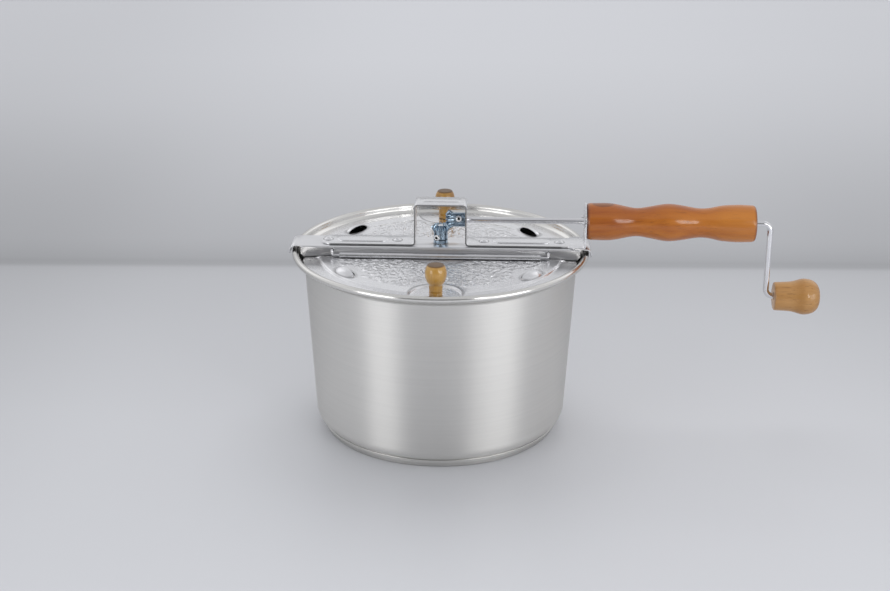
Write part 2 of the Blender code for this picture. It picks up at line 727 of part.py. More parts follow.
def make_hinge_wires(parent):
    inside = BRIDGE_HALF_WIDTH - 2 * BRIDGE_SHEET
    for name, side in (("front_hinge_wire", -1), ("back_hinge_wire", 1)):
        corners = [
            (-WIRE_END_X, side * inside, WIRE_HOLE_Z),
            (-WIRE_END_X, side * HINGE_Y, WIRE_HOLE_Z),
            (-WIRE_END_X, side * HINGE_Y, HINGE_Z),
            (WIRE_END_X, side * HINGE_Y, HINGE_Z),
            (WIRE_END_X, side * HINGE_Y, WIRE_HOLE_Z),
            (WIRE_END_X, side * inside, WIRE_HOLE_Z),
        ]
        path = rounded_path(corners, WIRE_RADIUS * 1.35, 2)
        curve_object(name, path, WIRE_RADIUS, 2, BRIGHT_WIRE, parent)


def make_bush(parent):
    bore = SHAFT_RADIUS + ROD_CLEARANCE
    flange = BUSH_RADIUS + BUSH_FLANGE_WIDTH
    profile = [
        (BUSH_RADIUS, BRIDGE_TOP),
        (BUSH_RADIUS, BUSH_FLANGE_TOP),
        (flange, BUSH_FLANGE_TOP),
        (flange, BUSH_FLANGE_BOTTOM),
        (bore, BUSH_FLANGE_BOTTOM),
        (bore, BRIDGE_TOP),
    ]
    turned("shaft_bush", profile, BUSH_STEPS, BUSH_NYLON, ring=True, parent=parent)


# Handle

def handle_outline():
    """(radius, distance from the tongue) along the turned grip, as shares of its radius and length."""
    big = HANDLE_RADIUS
    long = HANDLE_LENGTH
    shape = [
        (1.0, 0.025), (1.0, 0.145), (0.80, 0.262), (0.775, 0.315), (0.87, 0.380), (0.99, 0.452),
        (1.012, 0.500), (0.94, 0.566), (0.80, 0.660), (0.82, 0.725), (0.96, 0.803), (1.015, 0.895),
        (1.0, 0.958), (0.93, 0.985),
    ]
    line = [(r * big, d * long) for r, d in shape]
    outline = smooth_line(line, 2)
    return [(0.905 * big, 0.0)] + outline + [(0.72 * big, long)]


def make_handle(parent):
    bore = ROD_RADIUS + BORE_CLEARANCE
    outline = [(r, d) for r, d in reversed(handle_outline())]
    profile = [(bore, HANDLE_LENGTH)] + outline + [(bore, 0.0)]
    handle = turned(
        "handle", profile, TURNED_STEPS, GRIP_WOOD, ring=True,
        location=(HANDLE_X, 0, ROD_Z), rotation=(0, math.pi / 2, 0), parent=parent,
    )

    def pilots(bm):
        for y in (-HANDLE_SCREW_Y, HANDLE_SCREW_Y):
            start = (HANDLE_X - CUT_MARGIN, y, ROD_Z)
            end = (HANDLE_X + HANDLE_SCREW_REACH + GAP, y, ROD_Z)
            cylinder(bm, HANDLE_SCREW_RADIUS + GAP, start, end)

    cut(handle, "handle_pilots", pilots)

    head = TONGUE_X - BRACKET_SHEET - GAP - HANDLE_X
    radius = HANDLE_SCREW_RADIUS
    screw = [
        (0, HANDLE_SCREW_REACH),
        (radius * 0.3, HANDLE_SCREW_REACH),
        (radius, HANDLE_SCREW_REACH - 2.5 * radius),
        (radius, head),
        (radius * 2.0, head),
        (radius * 1.7, head - radius * 0.9),
        (0, head - radius * 1.2),
    ]
    mesh = turned_mesh("handle_screw", screw, SMALL_STEPS)
    for number, y in enumerate((-HANDLE_SCREW_Y, HANDLE_SCREW_Y), 1):
        add_object(
            f"handle_screw_{number}", mesh, ZINC_PLATE,
            location=(HANDLE_X, y, ROD_Z), rotation=(0, math.pi / 2, 0), parent=parent,
        )


# Flaps

def panel_radius(off):
    """Radius of the raised panel's edge, with its notch round the knob, at an angle off the knob's line."""
    reach = KNOB_Y * math.sin(abs(off))
    if reach >= KNOB_PAD_RADIUS:
        return PANEL_RADIUS
    notch = KNOB_Y * math.cos(off) - math.sqrt(KNOB_PAD_RADIUS**2 - reach**2)
    return min(PANEL_RADIUS, notch)


def edge_radius(angle):
    """Radius of the flap's edge, drawn in beside the hinge, where it swings down past the pot's wall."""
    from_hinge = min(angle, math.pi - angle)
    share = (CURL_END_ANGLE - from_hinge) / (CURL_END_ANGLE - TAIL_END_ANGLE)
    return LID_RADIUS - TAIL_TRIM * max(share, 0)


def lid_angles():
    """Angles of the rays from the pot's axis that carry the flap's outline, from one end to the other."""
    half = [math.asin(TAIL_Y / radius) for radius in (TAIL_END_RADIUS, PANEL_RADIUS + STEP_WIDTH, PANEL_RADIUS)]
    half.append(math.atan2(TAIL_Y, CURL_HALF_LENGTH + TAIL_SLIT))
    half.append(CURL_END_ANGLE)
    notch = math.asin(KNOB_PAD_RADIUS / KNOB_Y)
    first = half[-1]
    last = math.pi / 2 - notch - 0.02
    count = 10
    half += [first + (last - first) * i / count for i in range(1, count + 1)]
    for i in range(6):
        half.append(math.pi / 2 - notch * math.cos(math.pi / 2 * i / 6) + 0.004 * (i == 0))
    return half + [math.pi / 2] + [math.pi - angle for angle in reversed(half)]


def lid_skin(bm):
    """The flap's underside, hinge line at y = 0 and the flap towards -Y, with its curl about the origin."""
    high = -CURL_RADIUS
    low = high - PANEL_RISE
    curl_end = CURL_END_ANGLE - 1e-6
    rows = []
    for angle in lid_angles():
        off = angle - math.pi / 2
        edge_y = HINGE_Y if abs(off) < math.pi / 2 - curl_end else TAIL_Y
        start = edge_y / math.cos(off)
        panel = panel_radius(off)
        row = []
        for radius, z in ((start, high), (panel, high), (panel + STEP_WIDTH, low), (edge_radius(angle), low)):
            reach = max(radius, start)
            if radius < start:
                z = high + (low - high) * min((start - panel) / STEP_WIDTH, 1)
            row.append(Vector((reach * math.cos(angle), HINGE_Y - reach * math.sin(angle), z)))
        rows.append(row)
    grid_faces(bm, rows)
    bmesh.ops.remove_doubles(bm, verts=bm.verts, dist=1e-6)
    bmesh.ops.dissolve_degenerate(bm, edges=bm.edges, dist=1e-6)
    bmesh.ops.dissolve_limit(bm, angle_limit=math.radians(0.5), verts=bm.verts, edges=bm.edges)
    add_curl(bm)
    bmesh.ops.recalc_face_normals(bm, faces=bm.faces)
    if sum(face.normal.z * face.calc_area() for face in bm.faces) > 0:
        bmesh.ops.reverse_faces(bm, faces=bm.faces)


def add_curl(bm):
    """Rolls the hinge edge about the origin, between the ends of the curl."""
    limit = CURL_HALF_LENGTH + 1e-5
    edges = [
        edge
        for edge in bm.edges
        if edge.is_boundary and all(abs(v.co.y) < 1e-6 and abs(v.co.x) < limit for v in edge.verts)
    ]
    steps = 10
    turn = Matrix.Rotation(math.radians(300) / steps, 3, "X")
    for _ in range(steps):
        grown = bmesh.ops.extrude_edge_only(bm, edges=edges)["geom"]
        verts = [item for item in grown if isinstance(item, bmesh.types.BMVert)]
        edges = [item for item in grown if isinstance(item, bmesh.types.BMEdge)]
        bmesh.ops.rotate(bm, verts=verts, cent=(0, 0, 0), matrix=turn)


def louver_frame(side):
    """The place and turn of a louver in the flap's own coordinates, its +Y towards the rim."""
    x = side * LOUVER_RADIUS * math.cos(LOUVER_ANGLE)
    y = HINGE_Y - LOUVER_RADIUS * math.sin(LOUVER_ANGLE)
    turn = side * (math.pi / 2 - LOUVER_ANGLE) - math.pi
    return Matrix.Translation((x, y, LID_SHEET - CURL_RADIUS)) @ Matrix.Rotation(turn, 4, "Z")


def hood_mesh(side):
    """Half a dome over the louver's outer side, open towards the bridge."""

    def skin(bm):
        long = LOUVER_LENGTH / 2
        wide = LOUVER_WIDTH / 2
        sunk = LID_SHEET * 0.5
        rows = []
        for i in range(7):
            along = math.pi * i / 6
            row = []
            for j in range(4):
                lift = math.pi / 2 * j / 3
                x = -long * math.cos(along)
                y = wide * math.sin(along) * math.cos(lift)
                z = (LOUVER_HEIGHT + sunk) * math.sin(along) * math.sin(lift) - sunk
                row.append(louver_frame(side) @ Vector((x, y, z)))
            rows.append(row)
        grid_faces(bm, rows)
        bmesh.ops.remove_doubles(bm, verts=bm.verts, dist=1e-6)
        bmesh.ops.recalc_face_normals(bm, faces=bm.faces)
        if sum(face.normal.z for face in bm.faces) < 0:
            bmesh.ops.reverse_faces(bm, faces=bm.faces)

    return sheet_mesh("louver_hood", skin, HOOD_SHEET, -1)


def flap_tools(bm):
    """What is cut out of a flap: two louver openings and the knob's screw hole, in its own coordinates."""
    for side in (-1, 1):
        ring = []
        for x, y in arc(0, 0, 1, 0, 360, 16)[:-1]:
            place = Vector((x * (LOUVER_LENGTH / 2 - HOOD_SHEET), y * (LOUVER_WIDTH / 2 - HOOD_SHEET), 0))
            ring.append(louver_frame(side) @ place)
        low = [bm.verts.new(p - Vector((0, 0, LID_SHEET + CUT_MARGIN))) for p in ring]
        high = [bm.verts.new(p + Vector((0, 0, LID_SHEET / 2))) for p in ring]
        bm.faces.new(list(reversed(low)))
        bm.faces.new(high)
        for i in range(len(ring)):
            j = (i + 1) % len(ring)
            bm.faces.new((low[i], low[j], high[j], high[i]))
    centre = HINGE_Y - KNOB_Y
    level = -CURL_RADIUS - PANEL_RISE
    start = (0, centre, level - CUT_MARGIN)
    cylinder(bm, KNOB_SCREW_RADIUS + GAP, start, (0, centre, level + LID_SHEET + CUT_MARGIN))


def flap_mesh():
    """One flap with its louvers, in its own coordinates; both flaps share it."""
    blank = bpy.data.objects.new("flap_blank", sheet_mesh("flap_blank", lid_skin, LID_SHEET, -1))
    PARTS.objects.link(blank)
    cut(blank, "flap_openings", flap_tools)
    for side in (-1, 1):
        hood = bpy.data.objects.new("louver_hood", hood_mesh(side))
        CUTTERS.objects.link(hood)
        hood.hide_render = True
        hood.display_type = "WIRE"
        join = blank.modifiers.new("hood", "BOOLEAN")
        join.operation = "UNION"
        join.solver = "EXACT"
        join.object = hood
    mesh = evaluated_mesh(blank, "flap")
    bpy.data.objects.remove(blank)
    return mesh


def knob_profile():
    """(radius, height) of a flap knob above its base: a ball cut flat on top, neck and ring groove."""
    neck = KNOB_NECK_RADIUS
    ball = [(share * KNOB_BALL_RADIUS, KNOB_HEIGHT - drop) for share, drop in KNOB_BALL_SHAPE]
    groove = 0.0034
    stem = [
        (neck, groove + 0.0005),
        (neck - 0.0005, groove),
        (neck, groove - 0.0005),
        (neck + 0.0001, 0.0005),
        (neck - 0.0004, 0),
    ]
    pilot = KNOB_SCREW_RADIUS + GAP
    blind = [(pilot, 0), (pilot, KNOB_SCREW_REACH), (0, KNOB_SCREW_REACH + pilot)]
    return [(0, KNOB_HEIGHT)] + ball + stem + blind


def knob_screw_profile():
    """A pan-head screw from under the flap's band, heights from the knob's base."""
    radius = KNOB_SCREW_RADIUS
    seat = -2 * GAP - LID_SHEET
    return [
        (0, KNOB_SCREW_REACH - GAP),
        (radius, KNOB_SCREW_REACH - GAP - radius),
        (radius, seat),
        (SCREW_HEAD_RADIUS, seat),
        (SCREW_HEAD_RADIUS * 0.85, seat - SCREW_HEAD_HEIGHT * 0.8),
        (0, seat - SCREW_HEAD_HEIGHT),
    ]


def make_flaps(frame):
    flap = flap_mesh()
    flap.materials.append(POLISHED)
    knob = turned_mesh("flap_knob", knob_profile(), KNOB_STEPS)
    screw = turned_mesh("knob_screw", knob_screw_profile(), SMALL_STEPS)
    for name, side, turn in (("front", -1, 0.0), ("back", 1, math.pi)):
        axis = pivot(f"{name}_hinge_axis", (0, side * HINGE_Y, HINGE_Z), frame)
        place = (0, side * HINGE_Y, HINGE_Z)
        add_object(f"{name}_lid", flap, POLISHED, place, (0, 0, turn), axis)
        place = (0, side * KNOB_Y, LID_BAND_TOP + GAP)
        add_object(f"{name}_knob", knob, KNOB_WOOD, place, (0, 0, turn), axis)
        add_object(f"{name}_knob_screw", screw, ZINC_PLATE, place, (0, 0, turn), axis)


# Miter gears

def gear_mesh(name, hub_end):
    """A miter gear about Z, its pitch cone's apex at the origin and its hub towards -Z."""
    share = math.sqrt(0.5)
    top = MODULE * 0.95
    root = MODULE * 1.15
    thick = math.pi * MODULE / 2 - TOOTH_BACKLASH
    tip_half = (thick / 2 - top * math.tan(PRESSURE_ANGLE)) / PITCH_RADIUS
    root_half = (thick / 2 + root * math.tan(PRESSURE_ANGLE)) / PITCH_RADIUS
    tip = (PITCH_RADIUS + top * share, -PITCH_RADIUS + top * share)
    low = (PITCH_RADIUS - root * share, -PITCH_RADIUS - root * share)
    bm = bmesh.new()

    def ring(place):
        verts = []
        for tooth in range(TEETH):
            middle = 2 * math.pi * tooth / TEETH
            for offset, level in ((-root_half, low), (-tip_half, tip), (tip_half, tip), (root_half, low)):
                radius, z = place(level)
                angle = middle + offset
                verts.append(bm.verts.new((radius * math.cos(angle), radius * math.sin(angle), z)))
        return verts

    small = SMALL_END_SHARE
    face = low[1] * small + 0.0002
    rings = [
        ring(lambda level: (HUB_RADIUS, -hub_end)),
        ring(lambda level: (HUB_RADIUS, -HUB_START)),
        ring(lambda level: level),
        ring(lambda level: (level[0] * small, level[1] * small)),
        ring(lambda level: (low[0] * small * 0.94, face)),
    ]
    bm.faces.new(list(reversed(rings[0])))
    for lower, upper in zip(rings, rings[1:]):
        for i in range(len(lower)):
            j = (i + 1) % len(lower)
            bm.faces.new((lower[i], lower[j], upper[j], upper[i]))
    bm.faces.new(rings[-1])
    mesh = bpy.data.meshes.new(name)
    bm.to_mesh(mesh)
    bm.free()
    mesh.set_sharp_from_angle(angle=math.radians(25))
    return mesh


def pin_mesh(name):
    """A hollow rivet along Z through a hub: shank, domed heads and a dimple in each end."""
    reach = HUB_RADIUS + GAP
    half = [
        (0, reach + PIN_HEAD_HEIGHT * 0.2),
        (PIN_RADIUS * 0.80, reach + PIN_HEAD_HEIGHT),
        (PIN_HEAD_RADIUS * 0.75, reach + PIN_HEAD_HEIGHT * 0.85),
        (PIN_HEAD_RADIUS, reach),
        (PIN_RADIUS, reach),
    ]
    return turned_mesh(name, half + [(r, -z) for r, z in reversed(half)], SMALL_STEPS)


def pin_hole(bm, centre, direction):
    """A cross hole for the hollow rivet."""
    reach = Vector(direction).normalized() * (HUB_RADIUS + CUT_MARGIN)
    cylinder(bm, PIN_RADIUS + GAP, Vector(centre) - reach, Vector(centre) + reach)


def gear_bore(bm, end):
    """A bore from the apex out through a gear's hub."""
    cylinder(bm, GEAR_BORE, APEX, end, BUSH_STEPS)


def make_gear_pin(name, centre, direction, parent):
    turn = Vector(direction).to_track_quat("Z", "Y").to_euler()
    add_object(name, pin_mesh(name), BRIGHT_WIRE, centre, turn, parent)


def make_crank(axis):
    """The rod is one bent wire: gear end, through the handle, arm, and the knob's spindle."""
    corners = [
        (SHAFT_END_REACH, 0, ROD_Z),
        (ARM_X, 0, ROD_Z),
        (ARM_X, 0, CRANK_KNOB_Z),
        (CRANK_KNOB_X + ROD_REACH_IN_KNOB, 0, CRANK_KNOB_Z),
    ]
    path = rounded_path(corners, ROD_BEND_RADIUS, 6)
    rod = wire_mesh_object("crank_rod", path, ROD_RADIUS, 4, BRIGHT_WIRE, axis)
    cut(rod, "rod_pin_hole", lambda bm: pin_hole(bm, DRIVE_PIN, DRIVE_PIN_DIRECTION))

    half_tooth = math.pi / TEETH
    turn = (Matrix.Rotation(-math.pi / 2, 3, "Y") @ Matrix.Rotation(half_tooth, 3, "Z")).to_euler()
    gear = add_object("drive_gear", gear_mesh("drive_gear", DRIVE_HUB_END), ZINC_PLATE, APEX, turn, axis)

    hub_end = (DRIVE_HUB_END + CUT_MARGIN, 0, ROD_Z)
    cut(gear, "drive_gear_bore", lambda bm: gear_bore(bm, hub_end))
    cut(gear, "drive_gear_pin_hole", lambda bm: pin_hole(bm, DRIVE_PIN, DRIVE_PIN_DIRECTION))
    make_gear_pin("drive_gear_pin", DRIVE_PIN, DRIVE_PIN_DIRECTION, axis)


def crank_knob_outline():
    """(radius, distance from the arm's side) of the crank's knob, as shares of its size."""
    big = CRANK_KNOB_RADIUS
    long = CRANK_KNOB_LENGTH
    shape = [
        (0.79, 0.025), (0.84, 0.28), (0.885, 0.41), (0.985, 0.58), (1.0, 0.66), (0.965, 0.765),
        (0.885, 0.85), (0.72, 0.93), (0.49, 0.975),
    ]
    line = smooth_line([(r * big, d * long) for r, d in shape], 2)
    return [(0.70 * big, 0.0)] + line + [(0.22 * big, 0.996 * long)]


def make_crank_knob(axis):
    bore = ROD_RADIUS + BORE_CLEARANCE
    depth = ROD_REACH_IN_KNOB + 0.0010
    outline = list(reversed(crank_knob_outline()))
    profile = [(0, CRANK_KNOB_LENGTH)] + outline + [(bore, 0), (bore, depth), (0, depth + bore)]
    turned(
        "crank_knob", profile, TURNED_STEPS, PALE_WOOD,
        location=(CRANK_KNOB_X, 0, CRANK_KNOB_Z), rotation=(0, math.pi / 2, 0), parent=axis,
    )


# Stirrer

def make_stirrer(axis):
    groove = SHAFT_RADIUS - CLIP_GROOVE_DEPTH
    groove_top = CLIP_TOP + GAP / 2
    groove_bottom = CLIP_TOP - CLIP_THICKNESS - GAP
    shoulder = FOOT_BOTTOM - GAP
    top = ROD_Z - SHAFT_END_REACH
    foot = SHAFT_BOTTOM + SHAFT_FOOT_HEIGHT
    profile = [
        (0, top),
        (JOURNAL_RADIUS - 0.0004, top),
        (JOURNAL_RADIUS, top - 0.0004),
        (JOURNAL_RADIUS, shoulder),
        (SHAFT_RADIUS, shoulder),
        (SHAFT_RADIUS, groove_top),
        (groove, groove_top),
        (groove, groove_bottom),
        (SHAFT_RADIUS, groove_bottom),
        (SHAFT_RADIUS, foot + SHAFT_FOOT_RADIUS - SHAFT_RADIUS),
        (SHAFT_FOOT_RADIUS, foot),
        (SHAFT_FOOT_RADIUS, SHAFT_BOTTOM + 0.0015),
        (SHAFT_FOOT_RADIUS * 0.6, SHAFT_BOTTOM),
        (0, SHAFT_BOTTOM),
    ]
    shaft = turned("stirrer_shaft", profile, BUSH_STEPS, BRIGHT_WIRE, parent=axis)

    def holes(bm):
        pin_hole(bm, DRIVEN_PIN, DRIVEN_PIN_DIRECTION)
        reach = SHAFT_FOOT_RADIUS + CUT_MARGIN
        cylinder(bm, STIR_WIRE_RADIUS + GAP, (-reach, 0, STIR_WIRE_Z), (reach, 0, STIR_WIRE_Z))

    cut(shaft, "shaft_holes", holes)

    gear = add_object("driven_gear", gear_mesh("driven_gear", DRIVEN_HUB_END), ZINC_PLATE, APEX, parent=axis)
    hub_end = (0, 0, FOOT_BOTTOM - CUT_MARGIN)
    cut(gear, "driven_gear_bore", lambda bm: gear_bore(bm, hub_end))
    cut(gear, "driven_gear_pin_hole", lambda bm: pin_hole(bm, DRIVEN_PIN, DRIVEN_PIN_DIRECTION))
    make_gear_pin("driven_gear_pin", DRIVEN_PIN, DRIVEN_PIN_DIRECTION, axis)


def make_clip(axis):
    """An open spring clip in the shaft's groove, under the bush."""
    inner = SHAFT_RADIUS - CLIP_GROOVE_DEPTH + GAP
    half = math.degrees(CLIP_OPENING) / 2
    outline = arc(0, 0, SHAFT_RADIUS + CLIP_WIDTH, half, 360 - half, 18) + arc(0, 0, inner, 360 - half, half, 14)
    curve = bpy.data.curves.new("shaft_clip", "CURVE")
    curve.dimensions = "2D"
    curve.fill_mode = "BOTH"
    curve.extrude = CLIP_THICKNESS / 2
    spline = curve.splines.new("POLY")
    spline.points.add(len(outline) - 1)
    spline.use_cyclic_u = True
    for point, (x, y) in zip(spline.points, outline):
        point.co = (x, y, 0, 1)
    place = (0, 0, CLIP_TOP - CLIP_THICKNESS / 2)
    add_object("shaft_clip", curve, BRIGHT_WIRE, place, parent=axis)


def stir_wire_arm():
    """One arm of the stirring wire, from beside the shaft out to its upturned end."""
    straight = SHAFT_FOOT_RADIUS + 0.004
    points = [Vector((straight, 0, STIR_WIRE_Z))]
    steps = 9
    for i in range(1, steps + 1):
        share = i / steps
        reach = straight + (STIR_REACH - straight) * share
        angle = STIR_SWEEP * share**1.6
        points.append(Vector((reach * math.cos(angle), reach * math.sin(angle), STIR_WIRE_Z)))
    end = points.pop()
    bend = rounded_path([points[-1], end, end + Vector((0, 0, STIR_UPTURN))], STIR_WIRE_RADIUS * 2, 4)
    return points + bend[1:]


def make_stir_wire(axis):
    arm = stir_wire_arm()
    other = [Vector((-p.x, -p.y, p.z)) for p in reversed(arm)]
    curve_object("stir_wire", other + arm, STIR_WIRE_RADIUS, 2, BRIGHT_WIRE, axis)


def main():
    pot = pivot("pot_frame", (0, 0, 0))
    make_pot(pot)
    make_base(pot)

    lid_frame = pivot("lid_lift_axis", (0, 0, BRIDGE_TOP), pot)
    make_bridge(lid_frame)
    make_bracket(lid_frame)
    make_rivets(lid_frame)
    make_hinge_wires(lid_frame)
    make_bush(lid_frame)
    make_handle(lid_frame)
    make_flaps(lid_frame)

    crank = pivot("crank_axis", (0, 0, ROD_Z), lid_frame)
    make_crank(crank)
    knob = pivot("crank_knob_axis", (CRANK_KNOB_X, 0, CRANK_KNOB_Z), crank)
    make_crank_knob(knob)

    stirrer = pivot("stirrer_axis", (0, 0, BRIDGE_TOP), lid_frame)
    make_stirrer(stirrer)
    make_clip(stirrer)
    make_stir_wire(stirrer)


main()
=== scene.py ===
# %% [markdown]
# # A hand-crank popcorn popper
# The real thing is a spun steel pot whose lid frame lifts off in one piece.
# The frame carries two hinged flaps, a turned wooden handle and a crank.
# The crank turns a pair of miter gears, and they turn a wire stirrer on the pot's floor.
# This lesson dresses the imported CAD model: each solid is replaced by a finer piece in the same place.

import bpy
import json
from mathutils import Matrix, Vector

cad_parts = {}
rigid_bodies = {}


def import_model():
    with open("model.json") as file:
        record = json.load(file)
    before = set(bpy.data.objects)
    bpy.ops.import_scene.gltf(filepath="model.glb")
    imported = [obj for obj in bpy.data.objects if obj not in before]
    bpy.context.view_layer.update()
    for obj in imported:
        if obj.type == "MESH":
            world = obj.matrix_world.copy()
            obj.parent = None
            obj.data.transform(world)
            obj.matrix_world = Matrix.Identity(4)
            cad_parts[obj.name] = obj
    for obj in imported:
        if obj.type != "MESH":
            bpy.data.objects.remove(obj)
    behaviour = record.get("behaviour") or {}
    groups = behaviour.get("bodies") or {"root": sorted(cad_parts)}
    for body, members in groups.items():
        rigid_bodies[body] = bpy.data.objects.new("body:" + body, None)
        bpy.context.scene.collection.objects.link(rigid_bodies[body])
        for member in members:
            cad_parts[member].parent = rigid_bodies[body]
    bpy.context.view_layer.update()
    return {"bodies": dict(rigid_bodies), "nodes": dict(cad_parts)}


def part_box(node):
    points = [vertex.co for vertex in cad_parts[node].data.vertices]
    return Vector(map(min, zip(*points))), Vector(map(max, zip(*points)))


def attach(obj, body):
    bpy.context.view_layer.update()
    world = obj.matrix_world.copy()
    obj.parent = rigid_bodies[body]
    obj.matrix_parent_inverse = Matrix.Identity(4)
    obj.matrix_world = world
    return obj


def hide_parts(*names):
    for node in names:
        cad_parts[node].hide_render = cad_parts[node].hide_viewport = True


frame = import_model()

# %% Libraries
import json
import math

import bmesh
import bpy
from mathutils import Matrix, Vector

SCENE = bpy.context.scene


def placed(name, data):
    """A new object that is already in the scene."""
    thing = bpy.data.objects.new(name, data)
    SCENE.collection.objects.link(thing)
    return thing


print("bodies:", ", ".join(sorted(frame["bodies"])))

# %% [markdown]
# ## Camera
# The photograph looks slightly down on the popper, almost straight at its front.
# A camera could be aimed with a constraint, but plain trigonometry keeps it exact and repeatable.
# The focal length is given in pixels, as it was fitted to the picture, and turned into millimetres.

# %% Place the camera
PICTURE_WIDTH = 890
FOCAL_PIXELS = 1600
SENSOR_WIDTH = 36
AIM = Vector((0.0038, 0, 0.1131))
DISTANCE = 1.368
ELEVATION = math.radians(20.59)
TURN = math.radians(2.0)
ROLL = math.radians(0.21)

side_turn = Matrix.Rotation(TURN, 3, "Z")
backwards = Vector((0, -math.cos(ELEVATION), math.sin(ELEVATION)))
camera = placed("camera", bpy.data.cameras.new("camera"))
camera.location = side_turn @ (AIM + backwards * DISTANCE)
facing = (side_turn @ backwards).to_track_quat("Z", "Y").to_matrix()
camera.rotation_euler = (facing @ Matrix.Rotation(ROLL, 3, "Z")).to_euler()
camera.data.sensor_width = SENSOR_WIDTH
camera.data.lens = FOCAL_PIXELS / PICTURE_WIDTH * SENSOR_WIDTH
SCENE.camera = camera
print(f"camera at {tuple(round(v, 3) for v in camera.location)}, lens {camera.data.lens:.1f} mm")

# %% [markdown]
# ## One way to write nodes
# Every finish and every rule below is a node tree, and trees are easier to read as arithmetic.
# A Link wraps one output socket, so that `1 - mask * 0.5` adds its own Math nodes.
# A Tree has a single method for any other node: its type, its settings, then its sockets.
# An eased step, a band and a distance come up often, so they have names of their own.

# %% Sockets that do arithmetic
class Link:
    """One output socket of a tree."""

    def __init__(self, tree, socket):
        self.tree = tree
        self.socket = socket

    def step(self, operation, *values):
        return self.tree.add("ShaderNodeMath", {"operation": operation}, dict(enumerate(values)))

    def __add__(self, other):
        return self.step("ADD", self, other)

    def __sub__(self, other):
        return self.step("SUBTRACT", self, other)

    def __rsub__(self, other):
        return self.step("SUBTRACT", other, self)

    def __mul__(self, other):
        return self.step("MULTIPLY", self, other)

    def __truediv__(self, other):
        return self.step("DIVIDE", self, other)

    def __rtruediv__(self, other):
        return self.step("DIVIDE", other, self)

    def __neg__(self):
        return 0 - self

    def __abs__(self):
        return self.step("ABSOLUTE", self)

    __radd__ = __add__
    __rmul__ = __mul__


# %% A tree with one way to add a node
def fill_ramp(elements, stops):
    """Gives a colour ramp its stops, each a position and a colour."""
    while len(elements) < len(stops):
        elements.new(1.0)
    for element, (position, color) in zip(elements, stops):
        element.position = position
        element.color = (*color, 1.0)


class Tree:
    """A node tree of any kind."""

    def __init__(self, nodes):
        self.nodes = nodes

    def add(self, kind, settings=None, values=None, output=0):
        node = self.nodes.nodes.new(kind)
        for key, value in (settings or {}).items():
            if key == "stops":
                fill_ramp(node.color_ramp.elements, value)
            else:
                setattr(node, key, value)
        for key, value in (values or {}).items():
            self.join(node.inputs[key], value)
        return Link(self, node.outputs[output])

    def join(self, socket, value):
        if isinstance(value, Link):
            self.nodes.links.new(value.socket, socket)
        else:
            socket.default_value = value

    def smooth(self, value, low, high, start=0.0, end=1.0):
        """Eases from start to end as the value goes from low to high."""
        settings = {"interpolation_type": "SMOOTHSTEP"}
        return self.add("ShaderNodeMapRange", settings, {0: value, 1: low, 2: high, 3: start, 4: end})

    def band(self, value, start, full, fade, end):
        """Rises from 0 at start to 1 at full, stays there until fade and falls to 0 at end."""
        return self.smooth(value, start, full) * self.smooth(value, fade, end, 1.0, 0.0)

    def reach(self, x, y):
        """The distance from (0, 0) to the point (x, y)."""
        return self.add("ShaderNodeMath", {"operation": "SQRT"}, {0: x * x + y * y})

    def axes(self, place):
        """The three numbers of a position."""
        split = self.add("ShaderNodeSeparateXYZ", values={"Vector": place})
        return [Link(self, output) for output in split.socket.node.outputs]

    def mix(self, factor, first, second):
        return self.add("ShaderNodeMix", {"data_type": "RGBA"}, {0: factor, 6: first, 7: second}, output=2)

    def ramp(self, value, stops):
        return self.add("ShaderNodeValToRGB", {"stops": stops}, {"Fac": value}, output="Color")


# %% A material
class Finish(Tree):
    """A material built on the Principled shader, patterned on Object coordinates."""

    def __init__(self, name):
        self.material = bpy.data.materials.new(name)
        self.material.use_nodes = True
        super().__init__(self.material.node_tree)
        self.shader = self.nodes.nodes["Principled BSDF"]

    def place(self, centre=(0, 0, 0), scale=(1, 1, 1)):
        """Object coordinates measured from the centre, then stretched by the scale."""
        where = self.add("ShaderNodeTexCoord", output="Object")
        shift = [-c * s for c, s in zip(centre, scale)]
        return self.add("ShaderNodeMapping", values={"Vector": where, "Location": shift, "Scale": scale})

    def noise(self, place, scale=1.0, detail=3.0, roughness=0.5, distortion=0.0):
        values = {"Vector": place, "Scale": scale, "Detail": detail}
        values.update({"Roughness": roughness, "Distortion": distortion})
        return self.add("ShaderNodeTexNoise", values=values, output="Fac")

    def bump(self, height, distance, under=None):
        """Relief of the given depth in metres, laid over the relief under it."""
        values = {"Height": height, "Distance": distance}
        if under:
            values["Normal"] = under
        return self.add("ShaderNodeBump", values=values, output="Normal")

    def wear(self, **sockets):
        """Puts numbers, colours or links on the shader; underscores stand for spaces."""
        for name, value in sockets.items():
            self.join(self.shader.inputs[name.replace("_", " ")], value)
        print(f"{self.material.name}: {len(self.nodes.nodes)} nodes")
        return self.material


FINISHES = {}
BLACK = (0, 0, 0, 1)

# %% [markdown]
# ## Steel
# The pot is satin: its sheet was brushed round and round as it spun, so the streaks circle the axis.
# An image of brushing would need unwrapping, so a noise stretched along the streaks is used instead.
# Squeezing the noise in Z only makes every streak a level ring, with no seam anywhere.
# Roughness follows the streaks a little, and a shallow bump catches the light as real scratches do.
# Brushed scratches spread a reflection across themselves, which Anisotropic does: the pot's
# highlights then run from rim to foot as upright bands, wherever the lamps hang.
# Towards the rim the roughness is scaled down, because the flare was polished brighter than the wall.

